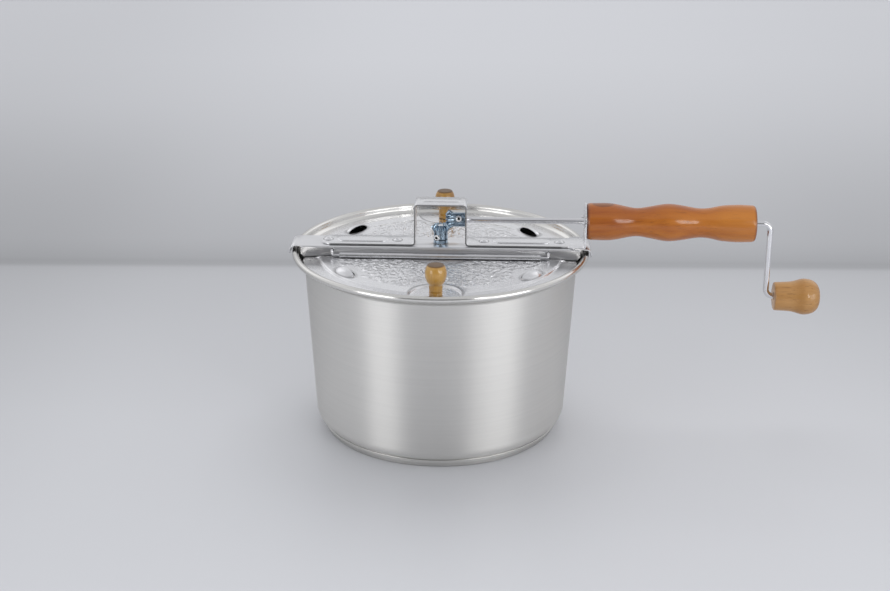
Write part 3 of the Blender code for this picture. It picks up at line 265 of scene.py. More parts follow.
# %% Satin and polished steel
def steel(
    name, tint, gloss, streaks, depth, smudge, contrast=0.06, rim=None, painted_shade=None, relief=None, **fixed
):
    """Metal with fine streaks: gloss is the roughness, depth the scratches' depth in metres.

    Rim scales the roughness with height: where it starts, where it ends and the factors at both.
    Painted shade is a rule that returns a mask where shade is painted darker, and relief one that returns a
    height and its depth.
    """
    finish = Finish(name)
    lines = finish.noise(finish.place(scale=streaks), detail=4.0, roughness=0.65)
    broad = finish.noise(finish.place(scale=[s * 0.12 for s in streaks]), detail=2.0)
    haze = finish.noise(finish.place(), scale=28.0, detail=4.0, roughness=0.6)
    dark = [c * (1 - contrast) for c in tint]
    shade = finish.mix(finish.smooth(lines * 0.6 + broad * 0.4, 0.35, 0.65), (*dark, 1), (*tint, 1))
    rough = gloss + (lines - 0.5) * gloss * 0.4 + finish.smooth(haze, 0.45, 0.75) * smudge
    if rim:
        height = finish.axes(finish.place())[2]
        rough = rough * finish.smooth(height, *rim)
    # Painted shade: the rule's mask darkens the colour where shade falls.
    if painted_shade:
        shade = finish.mix(painted_shade(finish), shade, BLACK)
    normal = finish.bump(lines, depth)
    if relief:
        normal = finish.bump(*relief(finish), under=normal)
    return finish.wear(Base_Color=shade, Metallic=1.0, Roughness=rough, Normal=normal, **fixed)


BRUSHING = {"Anisotropic": 0.82, "Anisotropic_Rotation": 0.25, "Specular_Tint": (0.72, 0.72, 0.72, 1)}
RIM_POLISH = (0.1460, 0.1510, 1.0, 0.55)
CAP_SHADE = (0.0036, 0.0052, 0.16, 0.0)
SATIN_TINT = (0.80, 0.79, 0.765)
POLISHED_TINT = (0.84, 0.84, 0.855)
WIRE_TINT = (0.80, 0.80, 0.82)
ROUND_STREAKS = (9, 9, 2600)
LONG_STREAKS = (40, 1500, 1500)
FINE_SPECKS = (420, 420, 420)


def cap_painted_shade(finish):
    """A little painted shade on the lowest part of the base cap, where it nears the floor."""
    return finish.smooth(finish.axes(finish.place())[2], *CAP_SHADE)


FINISHES["brushed_steel"] = steel(
    "satin_steel", SATIN_TINT, 0.40, ROUND_STREAKS, 8.0e-7, 0.03,
    contrast=0.04, rim=RIM_POLISH, painted_shade=cap_painted_shade, **BRUSHING,
)
FINISHES["polished_steel"] = steel("polished_steel", POLISHED_TINT, 0.27, LONG_STREAKS, 1.0e-6, 0.03)
FINISHES["bright_wire"] = steel("bright_wire", WIRE_TINT, 0.12, FINE_SPECKS, 5.0e-7, 0.06)

# %% [markdown]
# ## Zinc plate and cast aluminium
# The gears and the knobs' screws are zinc plated: a cold, bluish metal with cloudy crystals.
# Voronoi cells give the crystals' flat facets, and noise breaks up their edges.
# The slab inside the base is plain cast aluminium with a grainy skin.

# %% Zinc and aluminium
def crystal_metal(name, tints, gloss, cell, depth, groove=None):
    """Plated or cast metal: cell is a crystal's size, groove the height of a turned groove whose shade is
    painted as a dark line.
    """
    finish = Finish(name)
    where = finish.place()
    cells = finish.add("ShaderNodeTexVoronoi", values={"Vector": where, "Scale": 1 / cell}, output="Color")
    grey = finish.add("ShaderNodeRGBToBW", values={"Color": cells})
    cloud = finish.noise(where, scale=0.4 / cell, detail=4.0)
    blend = grey * 0.5 + cloud * 0.5
    shade = finish.mix(blend, (*tints[0], 1), (*tints[1], 1))
    # Painted shade: a dark line at the groove's height.
    if groove:
        off = abs(finish.axes(where)[2] - groove)
        line = finish.smooth(off, 0.0003, 0.0006, 0.85, 0.0)
        shade = finish.mix(line, shade, BLACK)
    normal = finish.bump(cloud, depth)
    return finish.wear(Base_Color=shade, Metallic=1.0, Roughness=gloss + blend * 0.14, Normal=normal)


ZINC_LOOK = (((0.07, 0.13, 0.19), (0.58, 0.70, 0.81)), 0.05, 0.0018, 1.5e-6)
ALUMINIUM_LOOK = (((0.50, 0.51, 0.52), (0.66, 0.67, 0.68)), 0.42, 0.0008, 2e-5)
FINISHES["zinc_plate"] = crystal_metal("zinc_plate", *ZINC_LOOK)
FINISHES["core_metal"] = crystal_metal("cast_aluminium", *ALUMINIUM_LOOK)

# %% [markdown]
# ## Lacquered wood
# The handle is stained orange-brown under a glossy lacquer, and the knobs are paler.
# Wood has three scales of pattern: slow blotches of stain, growth bands along the grain, and fine pores.
# Each is a noise stretched along the grain; the lacquer is the shader's coat, so it stays smooth.
# Single marks are masks that mix one more colour in: the handle's scorched ends, its paler outer half
# and the oval stain on top, the end grain on each flap knob, and the darker waist of the crank's knob,
# partly stain and partly painted shade.

# %% Wood
# Each stretch says how often a pattern repeats in a metre, along the grain and across it.
BAND_STRETCH = (7, 95)
FIBRE_STRETCH = (45, 900)
BLOTCH_STRETCH = (16, 34)
TONE_PLACES = (0.34, 0.50, 0.66)


def wood(name, centre, grain, tones, pores, coat, satin=0.10):
    """Grain is the direction that the fibres run, as an axis number; tones go from dark to light."""
    finish = Finish(name)

    def stretched(along, across):
        return finish.place(centre, [along if axis == grain else across for axis in range(3)])

    bands = finish.noise(stretched(*BAND_STRETCH), detail=4.0, roughness=0.55, distortion=0.6)
    fibres = finish.noise(stretched(*FIBRE_STRETCH), detail=3.0, roughness=0.6)
    blotch = finish.noise(stretched(*BLOTCH_STRETCH), detail=2.0)
    value = bands * 0.62 + blotch * 0.30 + fibres * 0.08
    stain = finish.ramp(value, list(zip(TONE_PLACES, tones)))
    dark = finish.smooth(fibres, 0.57, 0.75) * pores
    color = finish.mix(dark, stain, (*[c * 0.35 for c in tones[0]], 1))
    normal = finish.bump(fibres * 0.7 + bands * 0.3, 2.5e-5)
    rough = 0.42 + fibres * 0.12
    coats = {"Coat_Weight": coat, "Coat_Roughness": satin, "Coat_IOR": 1.6, "Specular_IOR_Level": 0.15}
    return finish, {"Base_Color": color, "Roughness": rough, "Normal": normal, **coats}


# %% The handle's wood
HANDLE_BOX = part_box("handle")
HANDLE_CENTRE = (HANDLE_BOX[0] + HANDLE_BOX[1]) / 2
HANDLE_TONES = ((0.27, 0.062, 0.003), (0.38, 0.110, 0.006), (0.47, 0.155, 0.013))
END_BURN = 0.0030
OVAL_CENTRE = (HANDLE_BOX[0].x + 0.0135, HANDLE_CENTRE.y, HANDLE_BOX[1].z)
OVAL_SIZE = (0.0095, 0.0062)
OVAL_STAIN = (0.115, 0.034, 0.010, 1)
PALE_STAIN = (0.55, 0.215, 0.030, 1)
SCORCHED = (0.10, 0.018, 0.004, 1)

handle_finish, coats = wood("handle_wood", HANDLE_CENTRE, 0, HANDLE_TONES, 0.5, 0.80, 0.16)
scale = (1 / OVAL_SIZE[0], 1 / OVAL_SIZE[1], 0)
spread = handle_finish.add(
    "ShaderNodeVectorMath", {"operation": "LENGTH"}, {0: handle_finish.place(OVAL_CENTRE, scale)}, "Value"
)
along, _, height = handle_finish.axes(handle_finish.place())
top_side = handle_finish.smooth(height, HANDLE_CENTRE.z, HANDLE_CENTRE.z + 0.006)
oval = handle_finish.smooth(spread, 0.90, 1.02, 1.0, 0.0) * top_side
paler = handle_finish.smooth(along, HANDLE_CENTRE.x + 0.015, HANDLE_CENTRE.x + 0.060)
burn = handle_finish.smooth(along, HANDLE_BOX[0].x, HANDLE_BOX[0].x + END_BURN, 1.0, 0.0)
burn = burn + handle_finish.smooth(along, HANDLE_BOX[1].x - END_BURN, HANDLE_BOX[1].x)
for mark, color in ((oval * 0.62, OVAL_STAIN), (paler * 0.36, PALE_STAIN), (burn * 0.75, SCORCHED)):
    coats["Base_Color"] = handle_finish.mix(mark, coats["Base_Color"], color)
FINISHES["handle_wood"] = handle_finish.wear(**coats)

# %% The flap knobs' wood
KNOB_TONES = ((0.24, 0.105, 0.014), (0.42, 0.225, 0.042), (0.55, 0.330, 0.085))
KNOB_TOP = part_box("front_knob")[1].z
END_GRAIN = (0.080, 0.045, 0.026, 1)
knob_finish, coats = wood("flap_knob_wood", (0, 0, 0.16), 2, KNOB_TONES, 0.6, 1.0)
height = knob_finish.axes(knob_finish.place())[2]
end_grain = knob_finish.smooth(height, KNOB_TOP - 0.0013, KNOB_TOP - 0.0001) * 0.90
coats["Base_Color"] = knob_finish.mix(end_grain, coats["Base_Color"], END_GRAIN)
coats["Coat_Weight"] = 1 - end_grain * 0.7
FINISHES["flap_knob_wood"] = knob_finish.wear(**coats)

# %% The crank knob's wood
GRIP_TONES = ((0.32, 0.150, 0.042), (0.43, 0.225, 0.075), (0.52, 0.300, 0.120))
GRIP_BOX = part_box("crank_knob")
WAIST_STAIN_AND_SHADE = (0.33, 0.150, 0.030, 1)
grip_finish, coats = wood("crank_knob_wood", GRIP_BOX[0], 0, GRIP_TONES, 0.7, 0.60)
along = grip_finish.axes(grip_finish.place())[0]
waist = GRIP_BOX[0].x + 0.55 * (GRIP_BOX[1].x - GRIP_BOX[0].x)
# The darker band round the waist is partly stain and partly painted shade.
waist_stain_and_shade = grip_finish.band(along, waist - 0.0085, waist, waist, waist + 0.0060) * 0.55
coats["Base_Color"] = grip_finish.mix(waist_stain_and_shade, coats["Base_Color"], WAIST_STAIN_AND_SHADE)
FINISHES["crank_knob_wood"] = grip_finish.wear(**coats)

# %% [markdown]
# ## Nylon
# The shaft turns in a small moulded bush. Nylon is milky, so a touch of subsurface light softens it.

# %% Nylon
nylon = Finish("nylon")
grain = nylon.noise(nylon.place(), scale=900.0, detail=2.0)
milk = nylon.mix(grain, (0.70, 0.69, 0.64, 1), (0.82, 0.81, 0.77, 1))
FINISHES["nylon"] = nylon.wear(
    Base_Color=milk, Roughness=0.42 + grain * 0.1, Normal=nylon.bump(grain, 1e-5),
    Subsurface_Weight=0.15, Subsurface_Scale=0.002,
)

# %% [markdown]
# ## Meshes
# Three ways of making cover the whole popper: turning a profile, thickening a sheet, and following a path.
# Each helper below returns a plain mesh that already sits in its place in the world.
# Modifiers are applied straight away, so that each mesh is what is rendered.

# %% Mesh helpers
SMOOTH_ANGLE = math.radians(32)


def to_mesh(bm, name="shape"):
    mesh = bpy.data.meshes.new(name)
    bm.to_mesh(mesh)
    bm.free()
    return mesh


def weld(bm, distance=1e-6):
    """Joins doubled points and clears the slivers that this leaves."""
    bmesh.ops.remove_doubles(bm, verts=bm.verts, dist=distance)
    bmesh.ops.dissolve_degenerate(bm, edges=bm.edges, dist=distance)


def arc(x, z, radius, start, end, count):
    """count + 1 points of an arc, from start to end in degrees."""
    angles = [math.radians(start + (end - start) * i / count) for i in range(count + 1)]
    return [(x + radius * math.cos(a), z + radius * math.sin(a)) for a in angles]


def shaped(mesh, *steps):
    """The mesh after a stack of modifiers, each given as its type and its settings."""
    blank = placed("blank", mesh)
    for kind, settings in steps:
        modifier = blank.modifiers.new(kind.lower(), kind)
        for key, value in settings.items():
            setattr(modifier, key, value)
    result = converted(blank)
    bpy.data.objects.remove(blank)
    return result


def converted(blank):
    """An object's evaluated shape as a welded, smooth-shaded mesh."""
    bpy.context.view_layer.update()
    graph = bpy.context.evaluated_depsgraph_get()
    mesh = bpy.data.meshes.new_from_object(blank.evaluated_get(graph))
    bm = bmesh.new()
    bm.from_mesh(mesh)
    weld(bm, 1e-7)
    bm.to_mesh(mesh)
    bm.free()
    mesh.shade_smooth()
    mesh.set_sharp_from_angle(angle=SMOOTH_ANGLE)
    return mesh


def bevel(width):
    """A Bevel step that rounds every crease by the given width."""
    return "BEVEL", {
        "width": width, "segments": 2, "limit_method": "ANGLE", "angle_limit": math.radians(40),
        "harden_normals": False, "use_clamp_overlap": True,
    }


def thicken(thickness, offset=-1):
    """A Solidify step that gives a skin its thickness, inwards unless the offset says otherwise."""
    return "SOLIDIFY", {"thickness": thickness, "offset": offset, "use_even_offset": True}


# %% [markdown]
# ## Putting a piece on the popper
# A finished piece is named, takes its finish, rides on a body and hides the CAD nodes it stands for.
# Doing all four in one place keeps the list of pieces short and honest.

# %% Fit a piece
def fit(name, mesh, body, slot, *nodes, finish=None):
    mesh.name = name
    mesh.materials.clear()
    mesh.materials.append(FINISHES[finish or slot])
    piece = placed(name, mesh)
    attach(piece, body)
    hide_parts(*nodes)
    mesh.calc_loop_triangles()
    print(f"{name}: {len(mesh.loop_triangles)} triangles on {body}")
    return piece


# %% [markdown]
# ## Turned pieces
# The pot was spun, and the handle and knobs were turned on a lathe, so one profile says it all.
# The Screw modifier would do this too, but it leaves a seam and a heap of points at each pole.
# Here the poles are single vertices from the start, and the surface is closed.

# %% The lathe
def lathe(profile, steps, place=None, ring=False):
    """Turns (radius, height) points about Z; a ring's profile is closed and off the axis."""
    bm = bmesh.new()
    angles = [2 * math.pi * i / steps for i in range(steps)]
    columns = []
    for radius, height in profile:
        spread = angles if radius > 1e-9 else angles[:1]
        columns.append([bm.verts.new((radius * math.cos(a), radius * math.sin(a), height)) for a in spread])
    pairs = list(zip(columns, columns[1:]))
    if ring:
        pairs.append((columns[-1], columns[0]))
    for low, high in pairs:
        for i in range(steps):
            j = (i + 1) % steps
            corners = (low[i % len(low)], low[j % len(low)], high[j % len(high)], high[i % len(high)])
            corners = list(dict.fromkeys(corners))
            if len(corners) > 2:
                bm.faces.new(corners)
    bmesh.ops.recalc_face_normals(bm, faces=bm.faces)
    bmesh.ops.transform(bm, matrix=place or Matrix(), verts=bm.verts)
    mesh = to_mesh(bm)
    mesh.shade_smooth()
    mesh.set_sharp_from_angle(angle=SMOOTH_ANGLE)
    return mesh


def along_x(x, z, y=0.0):
    """The place of a piece turned about an axis along X, its start at x."""
    return Matrix.Translation((x, y, z)) @ Matrix.Rotation(math.pi / 2, 4, "Y")


def between(a, b, c, d, t):
    """One coordinate on the way from b to c, bent by the neighbours a and d."""
    square = (2 * a - 5 * b + 4 * c - d) * t**2
    cube = (3 * b - a - 3 * c + d) * t**3
    return 0.5 * (2 * b + (c - a) * t + square + cube)


def smooth_line(points, spans):
    """A Catmull-Rom curve through points, with the given number of steps between neighbours."""
    ends = [points[0], *points, points[-1]]
    line = []
    for p0, p1, p2, p3 in zip(ends, ends[1:], ends[2:], ends[3:]):
        for step in range(spans):
            line.append(tuple(between(*near, step / spans) for near in zip(p0, p1, p2, p3)))
    return line + [points[-1]]


def sized(shape, radius, length):
    """(radius, distance) points from a shape whose points are shares of a radius and a length."""
    return [(r * radius, d * length) for r, d in shape]


# %% [markdown]
# ## The pot
# The wall leans out by a few degrees, flares at the top and ends in a rolled bead.
# The profile runs up the inside, round the bead and down the outside, so the sheet has a real thickness.

# %% Pot sizes and profile
RIM_RADIUS = 0.1250
BEAD_RADIUS = 0.0026
POT_HEIGHT = 0.1579
POT_SHEET = 0.0009
POT_STEPS = 192
WALL_SLOPE = math.radians(3.39)
FLARE_FOOT = Vector((0.1150, 0.1465))
CORNER_RADIUS = 0.0130
POT_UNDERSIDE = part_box("pot_body")[0].z
BEAD_CENTRE = Vector((RIM_RADIUS - BEAD_RADIUS, POT_HEIGHT - BEAD_RADIUS))
CORNER_Z = POT_UNDERSIDE + CORNER_RADIUS
WALL_LEAN = (FLARE_FOOT.y - CORNER_Z) * math.tan(WALL_SLOPE)
CORNER_R = FLARE_FOOT.x - WALL_LEAN - CORNER_RADIUS / math.cos(WALL_SLOPE)


def flare(outside, count=18):
    """A cubic curve from the top of the wall to the bead."""
    shift = 0 if outside else POT_SHEET
    angle = math.radians(232 if outside else 192)
    foot = FLARE_FOOT - Vector((shift, 0))
    end = BEAD_CENTRE + BEAD_RADIUS * Vector((math.cos(angle), math.sin(angle)))
    reach = (end - foot).length * 0.42
    first = foot + Vector((math.sin(WALL_SLOPE), math.cos(WALL_SLOPE))) * reach
    second = end - Vector((math.sin(angle), -math.cos(angle))) * reach
    points = []
    for step in range(count + 1):
        t = step / count
        start = foot * (1 - t) ** 3 + first * 3 * t * (1 - t) ** 2
        points.append(tuple(start + second * 3 * t**2 * (1 - t) + end * t**3))
    return points


def pot_profile():
    slope = math.degrees(WALL_SLOPE)
    inside = [(0, POT_UNDERSIDE + POT_SHEET)]
    inside += arc(CORNER_R, CORNER_Z, CORNER_RADIUS - POT_SHEET, -90, -slope, 14)
    bead = arc(*BEAD_CENTRE, BEAD_RADIUS, 192, -128, 28)[1:-1]
    outside = arc(CORNER_R, CORNER_Z, CORNER_RADIUS, -slope, -90, 16)
    return inside + flare(False) + bead + flare(True)[::-1] + outside + [(0, POT_UNDERSIDE)]


fit("pot_shell", lathe(pot_profile(), POT_STEPS), "pot", "brushed_steel", "pot_body")

# %% [markdown]
# ## The base
# A thin steel cap is pressed over an aluminium slab that spreads the heat.
# Its edge is rolled in, which leaves the fine dark groove that circles the foot of the pot.

# %% Base cap and core
CAP_SHEET = 0.0008
CAP_EDGE_RADIUS = 0.0025
CAP_FOOT_RADIUS = CORNER_R + 0.0060
GAP = 0.0003
LIP_Z = POT_UNDERSIDE + 0.00225
LIP_RADIUS = CORNER_R + math.sqrt((CORNER_RADIUS + GAP) ** 2 - (CORNER_Z - LIP_Z) ** 2) + CAP_SHEET


def cap_wall(inset, count):
    foot = arc(CAP_FOOT_RADIUS - CAP_EDGE_RADIUS, CAP_EDGE_RADIUS, CAP_EDGE_RADIUS - inset, -90, -20, count)
    return foot + [(LIP_RADIUS - inset, LIP_Z)]


def cap_profile():
    rounding = arc(LIP_RADIUS - CAP_SHEET / 2, LIP_Z - 0.0001, CAP_SHEET / 2, 150, 10, 6)
    inner = cap_wall(CAP_SHEET, 8)[:-1]
    outer = cap_wall(0, 10)[:-1]
    return [(0, CAP_SHEET)] + inner + rounding + outer[::-1] + [(0, 0)]


fit("base_shell", lathe(cap_profile(), POT_STEPS), "pot", "brushed_steel", "base_cap")
core_slots = frame["nodes"]["base_core"].data.materials
core_slots.clear()
core_slots.append(FINISHES["core_metal"])

# %% [markdown]
# ## Sheet pieces
# The bridge and the bracket are folded strips. Each is drawn as one skin, thickened by Solidify,
# drilled with Booleans and softened with a small Bevel, in the order that a workshop would follow.

# %% Sheets, cutters and folds
def grid_faces(bm, rows):
    verts = [[bm.verts.new(p) for p in row] for row in rows]
    for low, high in zip(verts, verts[1:]):
        for i in range(len(low) - 1):
            bm.faces.new((low[i], low[i + 1], high[i + 1], high[i]))


def loft(bm, rings):
    """Faces between neighbouring rings of points, and a flat cap at both ends."""
    rings = [[bm.verts.new(p) for p in ring] for ring in rings]
    bm.faces.new(rings[0][::-1])
    for lower, upper in zip(rings, rings[1:]):
        for i in range(len(lower)):
            j = (i + 1) % len(lower)
            bm.faces.new((lower[i], lower[j], upper[j], upper[i]))
    bm.faces.new(rings[-1])


def sheet(rows_list, thickness, offset=-1):
    """Grids of points welded into one skin, then given a thickness."""
    bm = bmesh.new()
    for rows in rows_list:
        grid_faces(bm, rows)
    weld(bm)
    return shaped(to_mesh(bm), thicken(thickness, offset))


def drill(bm, radius, start, end, sides=32):
    """A closed round bar between two points, to cut with."""
    start = Vector(start)
    end = Vector(end)
    turn = (end - start).to_track_quat("Z", "Y").to_matrix().to_4x4()
    place = Matrix.Translation((start + end) / 2) @ turn
    depth = (end - start).length
    bmesh.ops.create_cone(
        bm, cap_ends=True, segments=sides, radius1=radius, radius2=radius, depth=depth, matrix=place
    )


def carve(mesh, build, *after, operation="DIFFERENCE"):
    """The mesh with what build(bm) makes cut out of it or joined to it, and any modifiers after that."""
    bm = bmesh.new()
    build(bm)
    tool = placed("tool", to_mesh(bm))
    result = shaped(mesh, ("BOOLEAN", {"operation": operation, "solver": "EXACT", "object": tool}), *after)
    bpy.data.objects.remove(tool)
    return result


def rounded_path(corners, radius, count):
    """A path through 3D corners, each inner corner replaced by an arc of the given radius."""
    path = [Vector(corners[0])]
    for before, corner, after in zip(corners, corners[1:], corners[2:]):
        corner = Vector(corner)
        back = (Vector(before) - corner).normalized()
        on = (Vector(after) - corner).normalized()
        half = back.angle(on) / 2
        centre = corner + (back + on).normalized() * radius / math.sin(half)
        start = corner + back * radius / math.tan(half) - centre
        axis = back.cross(on).normalized()
        turn = math.pi - 2 * half
        path += [centre + Matrix.Rotation(-turn * i / count, 3, axis) @ start for i in range(count + 1)]
    return path + [Vector(corners[-1])]


# %% [markdown]
# ## The bridge
# An upside-down channel spans the pot. Its top plate runs on past the flanges at both ends
# and turns down over the rim in a small hook, so the whole frame lifts straight off.

# %% Bridge
BRIDGE_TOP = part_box("bridge")[1].z
BRIDGE_HALF_WIDTH = 0.0144
BRIDGE_SHEET = 0.0010
BRIDGE_FOLD = 0.0012
SHEET_BREAK = 0.00018
FLANGE_DEPTH = 0.0100
FLANGE_BEVEL = 0.0030
FLANGE_CLEAR = 0.0018
FLANGE_END_X = math.sqrt((BEAD_CENTRE.x - BEAD_RADIUS - FLANGE_CLEAR) ** 2 - BRIDGE_HALF_WIDTH**2)
HOOK_RADIUS = 0.0050
HOOK_X = RIM_RADIUS + 0.0009 + BRIDGE_SHEET - HOOK_RADIUS
HOOK_DROP = 0.0022
BUSH_RADIUS = 0.0047
WIRE_END_X = 0.0905
WIRE_HOLE_Z = 0.1580
WIRE_RADIUS = 0.0011
RIVET_RADIUS = 0.0018
RIVET_PLACES = (-0.0950, -0.0365, 0.0365, 0.1000)


def bridge_grids():
    edge = arc(BRIDGE_HALF_WIDTH - BRIDGE_FOLD, -BRIDGE_FOLD, BRIDGE_FOLD, 0, 90, 6)
    right = [(BRIDGE_HALF_WIDTH, -FLANGE_DEPTH)] + edge
    across = right + [(-y, drop) for y, drop in right[::-1]]
    bevel_x = FLANGE_END_X - FLANGE_BEVEL
    rows = []
    for x in (-FLANGE_END_X, -bevel_x, 0.0, bevel_x, FLANGE_END_X):
        row = [Vector((x, y, BRIDGE_TOP + drop)) for y, drop in across]
        if abs(x) == FLANGE_END_X:
            row[0].z += FLANGE_BEVEL
            row[-1].z += FLANGE_BEVEL
        rows.append(row)
    flat = [y for y, drop in across if drop == 0.0]
    grids = [rows]
    for side in (1, -1):
        bend = arc(HOOK_X, BRIDGE_TOP - HOOK_RADIUS, HOOK_RADIUS, 90, 0, 12)
        path = [(FLANGE_END_X, BRIDGE_TOP)] + bend + [(bend[-1][0], bend[-1][1] - HOOK_DROP)]
        grids.append([[Vector((side * x, y, z)) for y in flat[::side]] for x, z in path])
    return grids


def bridge_holes(bm):
    low = BRIDGE_TOP - BRIDGE_SHEET - 0.002
    high = BRIDGE_TOP + 0.002
    drill(bm, BUSH_RADIUS + GAP, (0, 0, low), (0, 0, high))
    for x in RIVET_PLACES:
        drill(bm, RIVET_RADIUS + GAP, (x, 0, low), (x, 0, high))
    for x in (-WIRE_END_X, WIRE_END_X):
        for side in (-1, 1):
            inner = side * (BRIDGE_HALF_WIDTH - 0.003)
            drill(bm, WIRE_RADIUS + GAP, (x, inner, WIRE_HOLE_Z), (x, side * 0.017, WIRE_HOLE_Z))


def flange_painted_shade(finish):
    """Painted shade: the flanges face the pot's own shade, so they are drawn darker below the fold."""
    return finish.smooth(finish.axes(finish.place())[2], BRIDGE_TOP - 0.0026, BRIDGE_TOP - 0.0012, 0.29, 0.0)


FINISHES["bridge_steel"] = steel(
    "bridge_steel", POLISHED_TINT, 0.33, LONG_STREAKS, 1.0e-6, 0.03, painted_shade=flange_painted_shade
)
bridge = carve(sheet(bridge_grids(), BRIDGE_SHEET), bridge_holes, bevel(SHEET_BREAK))
fit("bridge_channel", bridge, "lid_frame", "polished_steel", "bridge", finish="bridge_steel")

# %% [markdown]
# ## The gear bracket
# One strip makes both feet, the hat over the gears and the round tongue that backs the handle.
# It is swept as stations along its middle line, each with its own half width, and ribs are pressed into it.

# %% Bracket stations
BRACKET_SHEET = 0.0012
BRACKET_FOLD = 0.0026
BRACKET_HALF_WIDTH = 0.0115
BRACKET_END_X = 0.1000
FOOT_ROUNDING = 0.0085
FOOT_BOTTOM = BRIDGE_TOP + GAP
FOOT_MIDDLE = FOOT_BOTTOM + BRACKET_SHEET / 2
FOOT_TOP = FOOT_BOTTOM + BRACKET_SHEET
ROD_Z = BRIDGE_TOP + 0.0203
ROD_RADIUS = 0.0025
HAT_TOP = ROD_Z + 0.0160
HAT_HALF_LENGTH = 0.0220
TONGUE_X = 0.1217
TONGUE_RADIUS = 0.0158
TONGUE_FLARE = 0.0060
HANDLE_SCREW_Y = 0.0098
HANDLE_SCREW_HOLE = 0.0019


def bracket_stations():
    """(x, z, half width) from the left foot's end to the tongue's top."""
    width = BRACKET_HALF_WIDTH
    ends = arc(-BRACKET_END_X + FOOT_ROUNDING, width - FOOT_ROUNDING, FOOT_ROUNDING, 180, 90, 12)
    stations = [(x, FOOT_MIDDLE, half) for x, half in ends]
    leg = HAT_HALF_LENGTH - BRACKET_SHEET / 2
    top = HAT_TOP - BRACKET_SHEET / 2
    plate = TONGUE_X - BRACKET_SHEET / 2
    flare_start = plate - BRACKET_FOLD - 2 * TONGUE_FLARE
    corners = [(stations[-1][0], 0, FOOT_MIDDLE), (-leg, 0, FOOT_MIDDLE), (-leg, 0, top), (leg, 0, top)]
    corners += [(leg, 0, FOOT_MIDDLE), (flare_start, 0, FOOT_MIDDLE)]
    stations += [(p.x, p.z, width) for p in rounded_path(corners, BRACKET_FOLD, 10)[1:]]
    for i in range(1, 11):
        ease = (1 - math.cos(math.pi * i / 10)) / 2
        x = flare_start + TONGUE_FLARE * i / 10
        stations.append((x, FOOT_MIDDLE, width + (TONGUE_RADIUS - width) * ease))
    corners = [(stations[-1][0], 0, FOOT_MIDDLE), (plate, 0, FOOT_MIDDLE), (plate, 0, ROD_Z)]
    stations += [(p.x, p.z, TONGUE_RADIUS) for p in rounded_path(corners, BRACKET_FOLD, 10)[1:]]
    stations += [(plate, z, half) for z, half in arc(ROD_Z, 0, TONGUE_RADIUS, 90, 5, 24)[1:]]
    return stations


print(f"bracket: {len(bracket_stations())} stations from {-BRACKET_END_X} m to the tongue at {TONGUE_X} m")

# %% Ribs and holes of the bracket
HAT_RIB_HEIGHT = 0.0008
HAT_RIB_WIDTH = 0.0070
HAT_RIB_MARGIN = 0.0055
FOOT_RIB_HEIGHT = 0.0011
FOOT_RIB_WIDTH = 0.0120
FOOT_RIB_MARGIN = 0.0072
RIB_SHOULDER = 0.0015


def rib(bm, length, width, low, top, rise, x):
    """A pressed rib: a stadium along X that stands out by rise, its shoulders rounded in three steps."""
    levels = [(0.0, low), (0.0, top)]
    for i in (1, 2, 3):
        turn = math.pi / 2 * i / 3
        levels.append((RIB_SHOULDER * (1 - math.cos(turn)), top + rise * math.sin(turn)))
    rings = []
    for inset, z in levels:
        radius = width / 2 - inset
        straight = (length - width) / 2
        outline = arc(x + straight, 0, radius, -90, 90, 12) + arc(x - straight, 0, radius, 90, 270, 12)
        rings.append([(px, py, z) for px, py in outline])
    loft(bm, rings)


def bracket_ribs(bm):
    for left, right in (RIVET_PLACES[:2], RIVET_PLACES[2:]):
        length = right - left - 2 * FOOT_RIB_MARGIN
        rib(bm, length, FOOT_RIB_WIDTH, FOOT_MIDDLE, FOOT_TOP, FOOT_RIB_HEIGHT, (left + right) / 2)
    length = 2 * (HAT_HALF_LENGTH - HAT_RIB_MARGIN)
    rib(bm, length, HAT_RIB_WIDTH, HAT_TOP - BRACKET_SHEET / 2, HAT_TOP, HAT_RIB_HEIGHT, 0)


def bracket_holes(bm):
    for x in RIVET_PLACES:
        drill(bm, RIVET_RADIUS + GAP, (x, 0, FOOT_BOTTOM - 0.002), (x, 0, FOOT_TOP + 0.002))
    for x in (HAT_HALF_LENGTH, TONGUE_X):
        drill(bm, ROD_RADIUS + GAP, (x - 0.004, 0, ROD_Z), (x + 0.002, 0, ROD_Z))
    for y in (-HANDLE_SCREW_Y, HANDLE_SCREW_Y):
        drill(bm, HANDLE_SCREW_HOLE, (TONGUE_X - 0.004, y, ROD_Z), (TONGUE_X + 0.002, y, ROD_Z))


# %% [markdown]
# Polished sheet hides its own relief, so the shade that gathers round each rivet head
# is painted in as a thin dark ring. Painted shade also darkens the strip's cut edges.

# %% The strap
RIVET_SHADE = (0.0034, 0.0041, 0.0041, 0.0050)


def strap_painted_shade(finish):
    """Painted shade: a dark ring round each rivet head, and darker cut edges up to the foot's end."""
    x, y, z = finish.axes(finish.place())
    low = finish.smooth(z, FOOT_TOP + 0.0004, FOOT_TOP + 0.0010, 1.0, 0.0)
    mask = 0
    for centre in RIVET_PLACES:
        mask = mask + finish.band(finish.reach(x - centre, y), *RIVET_SHADE)
    edge = finish.smooth(abs(y), BRACKET_HALF_WIDTH - 0.0003, BRACKET_HALF_WIDTH - 0.0001)
    return mask * low * 0.5 + edge * finish.smooth(x, BRACKET_END_X, BRACKET_END_X + 0.003, 0.55, 0.0)


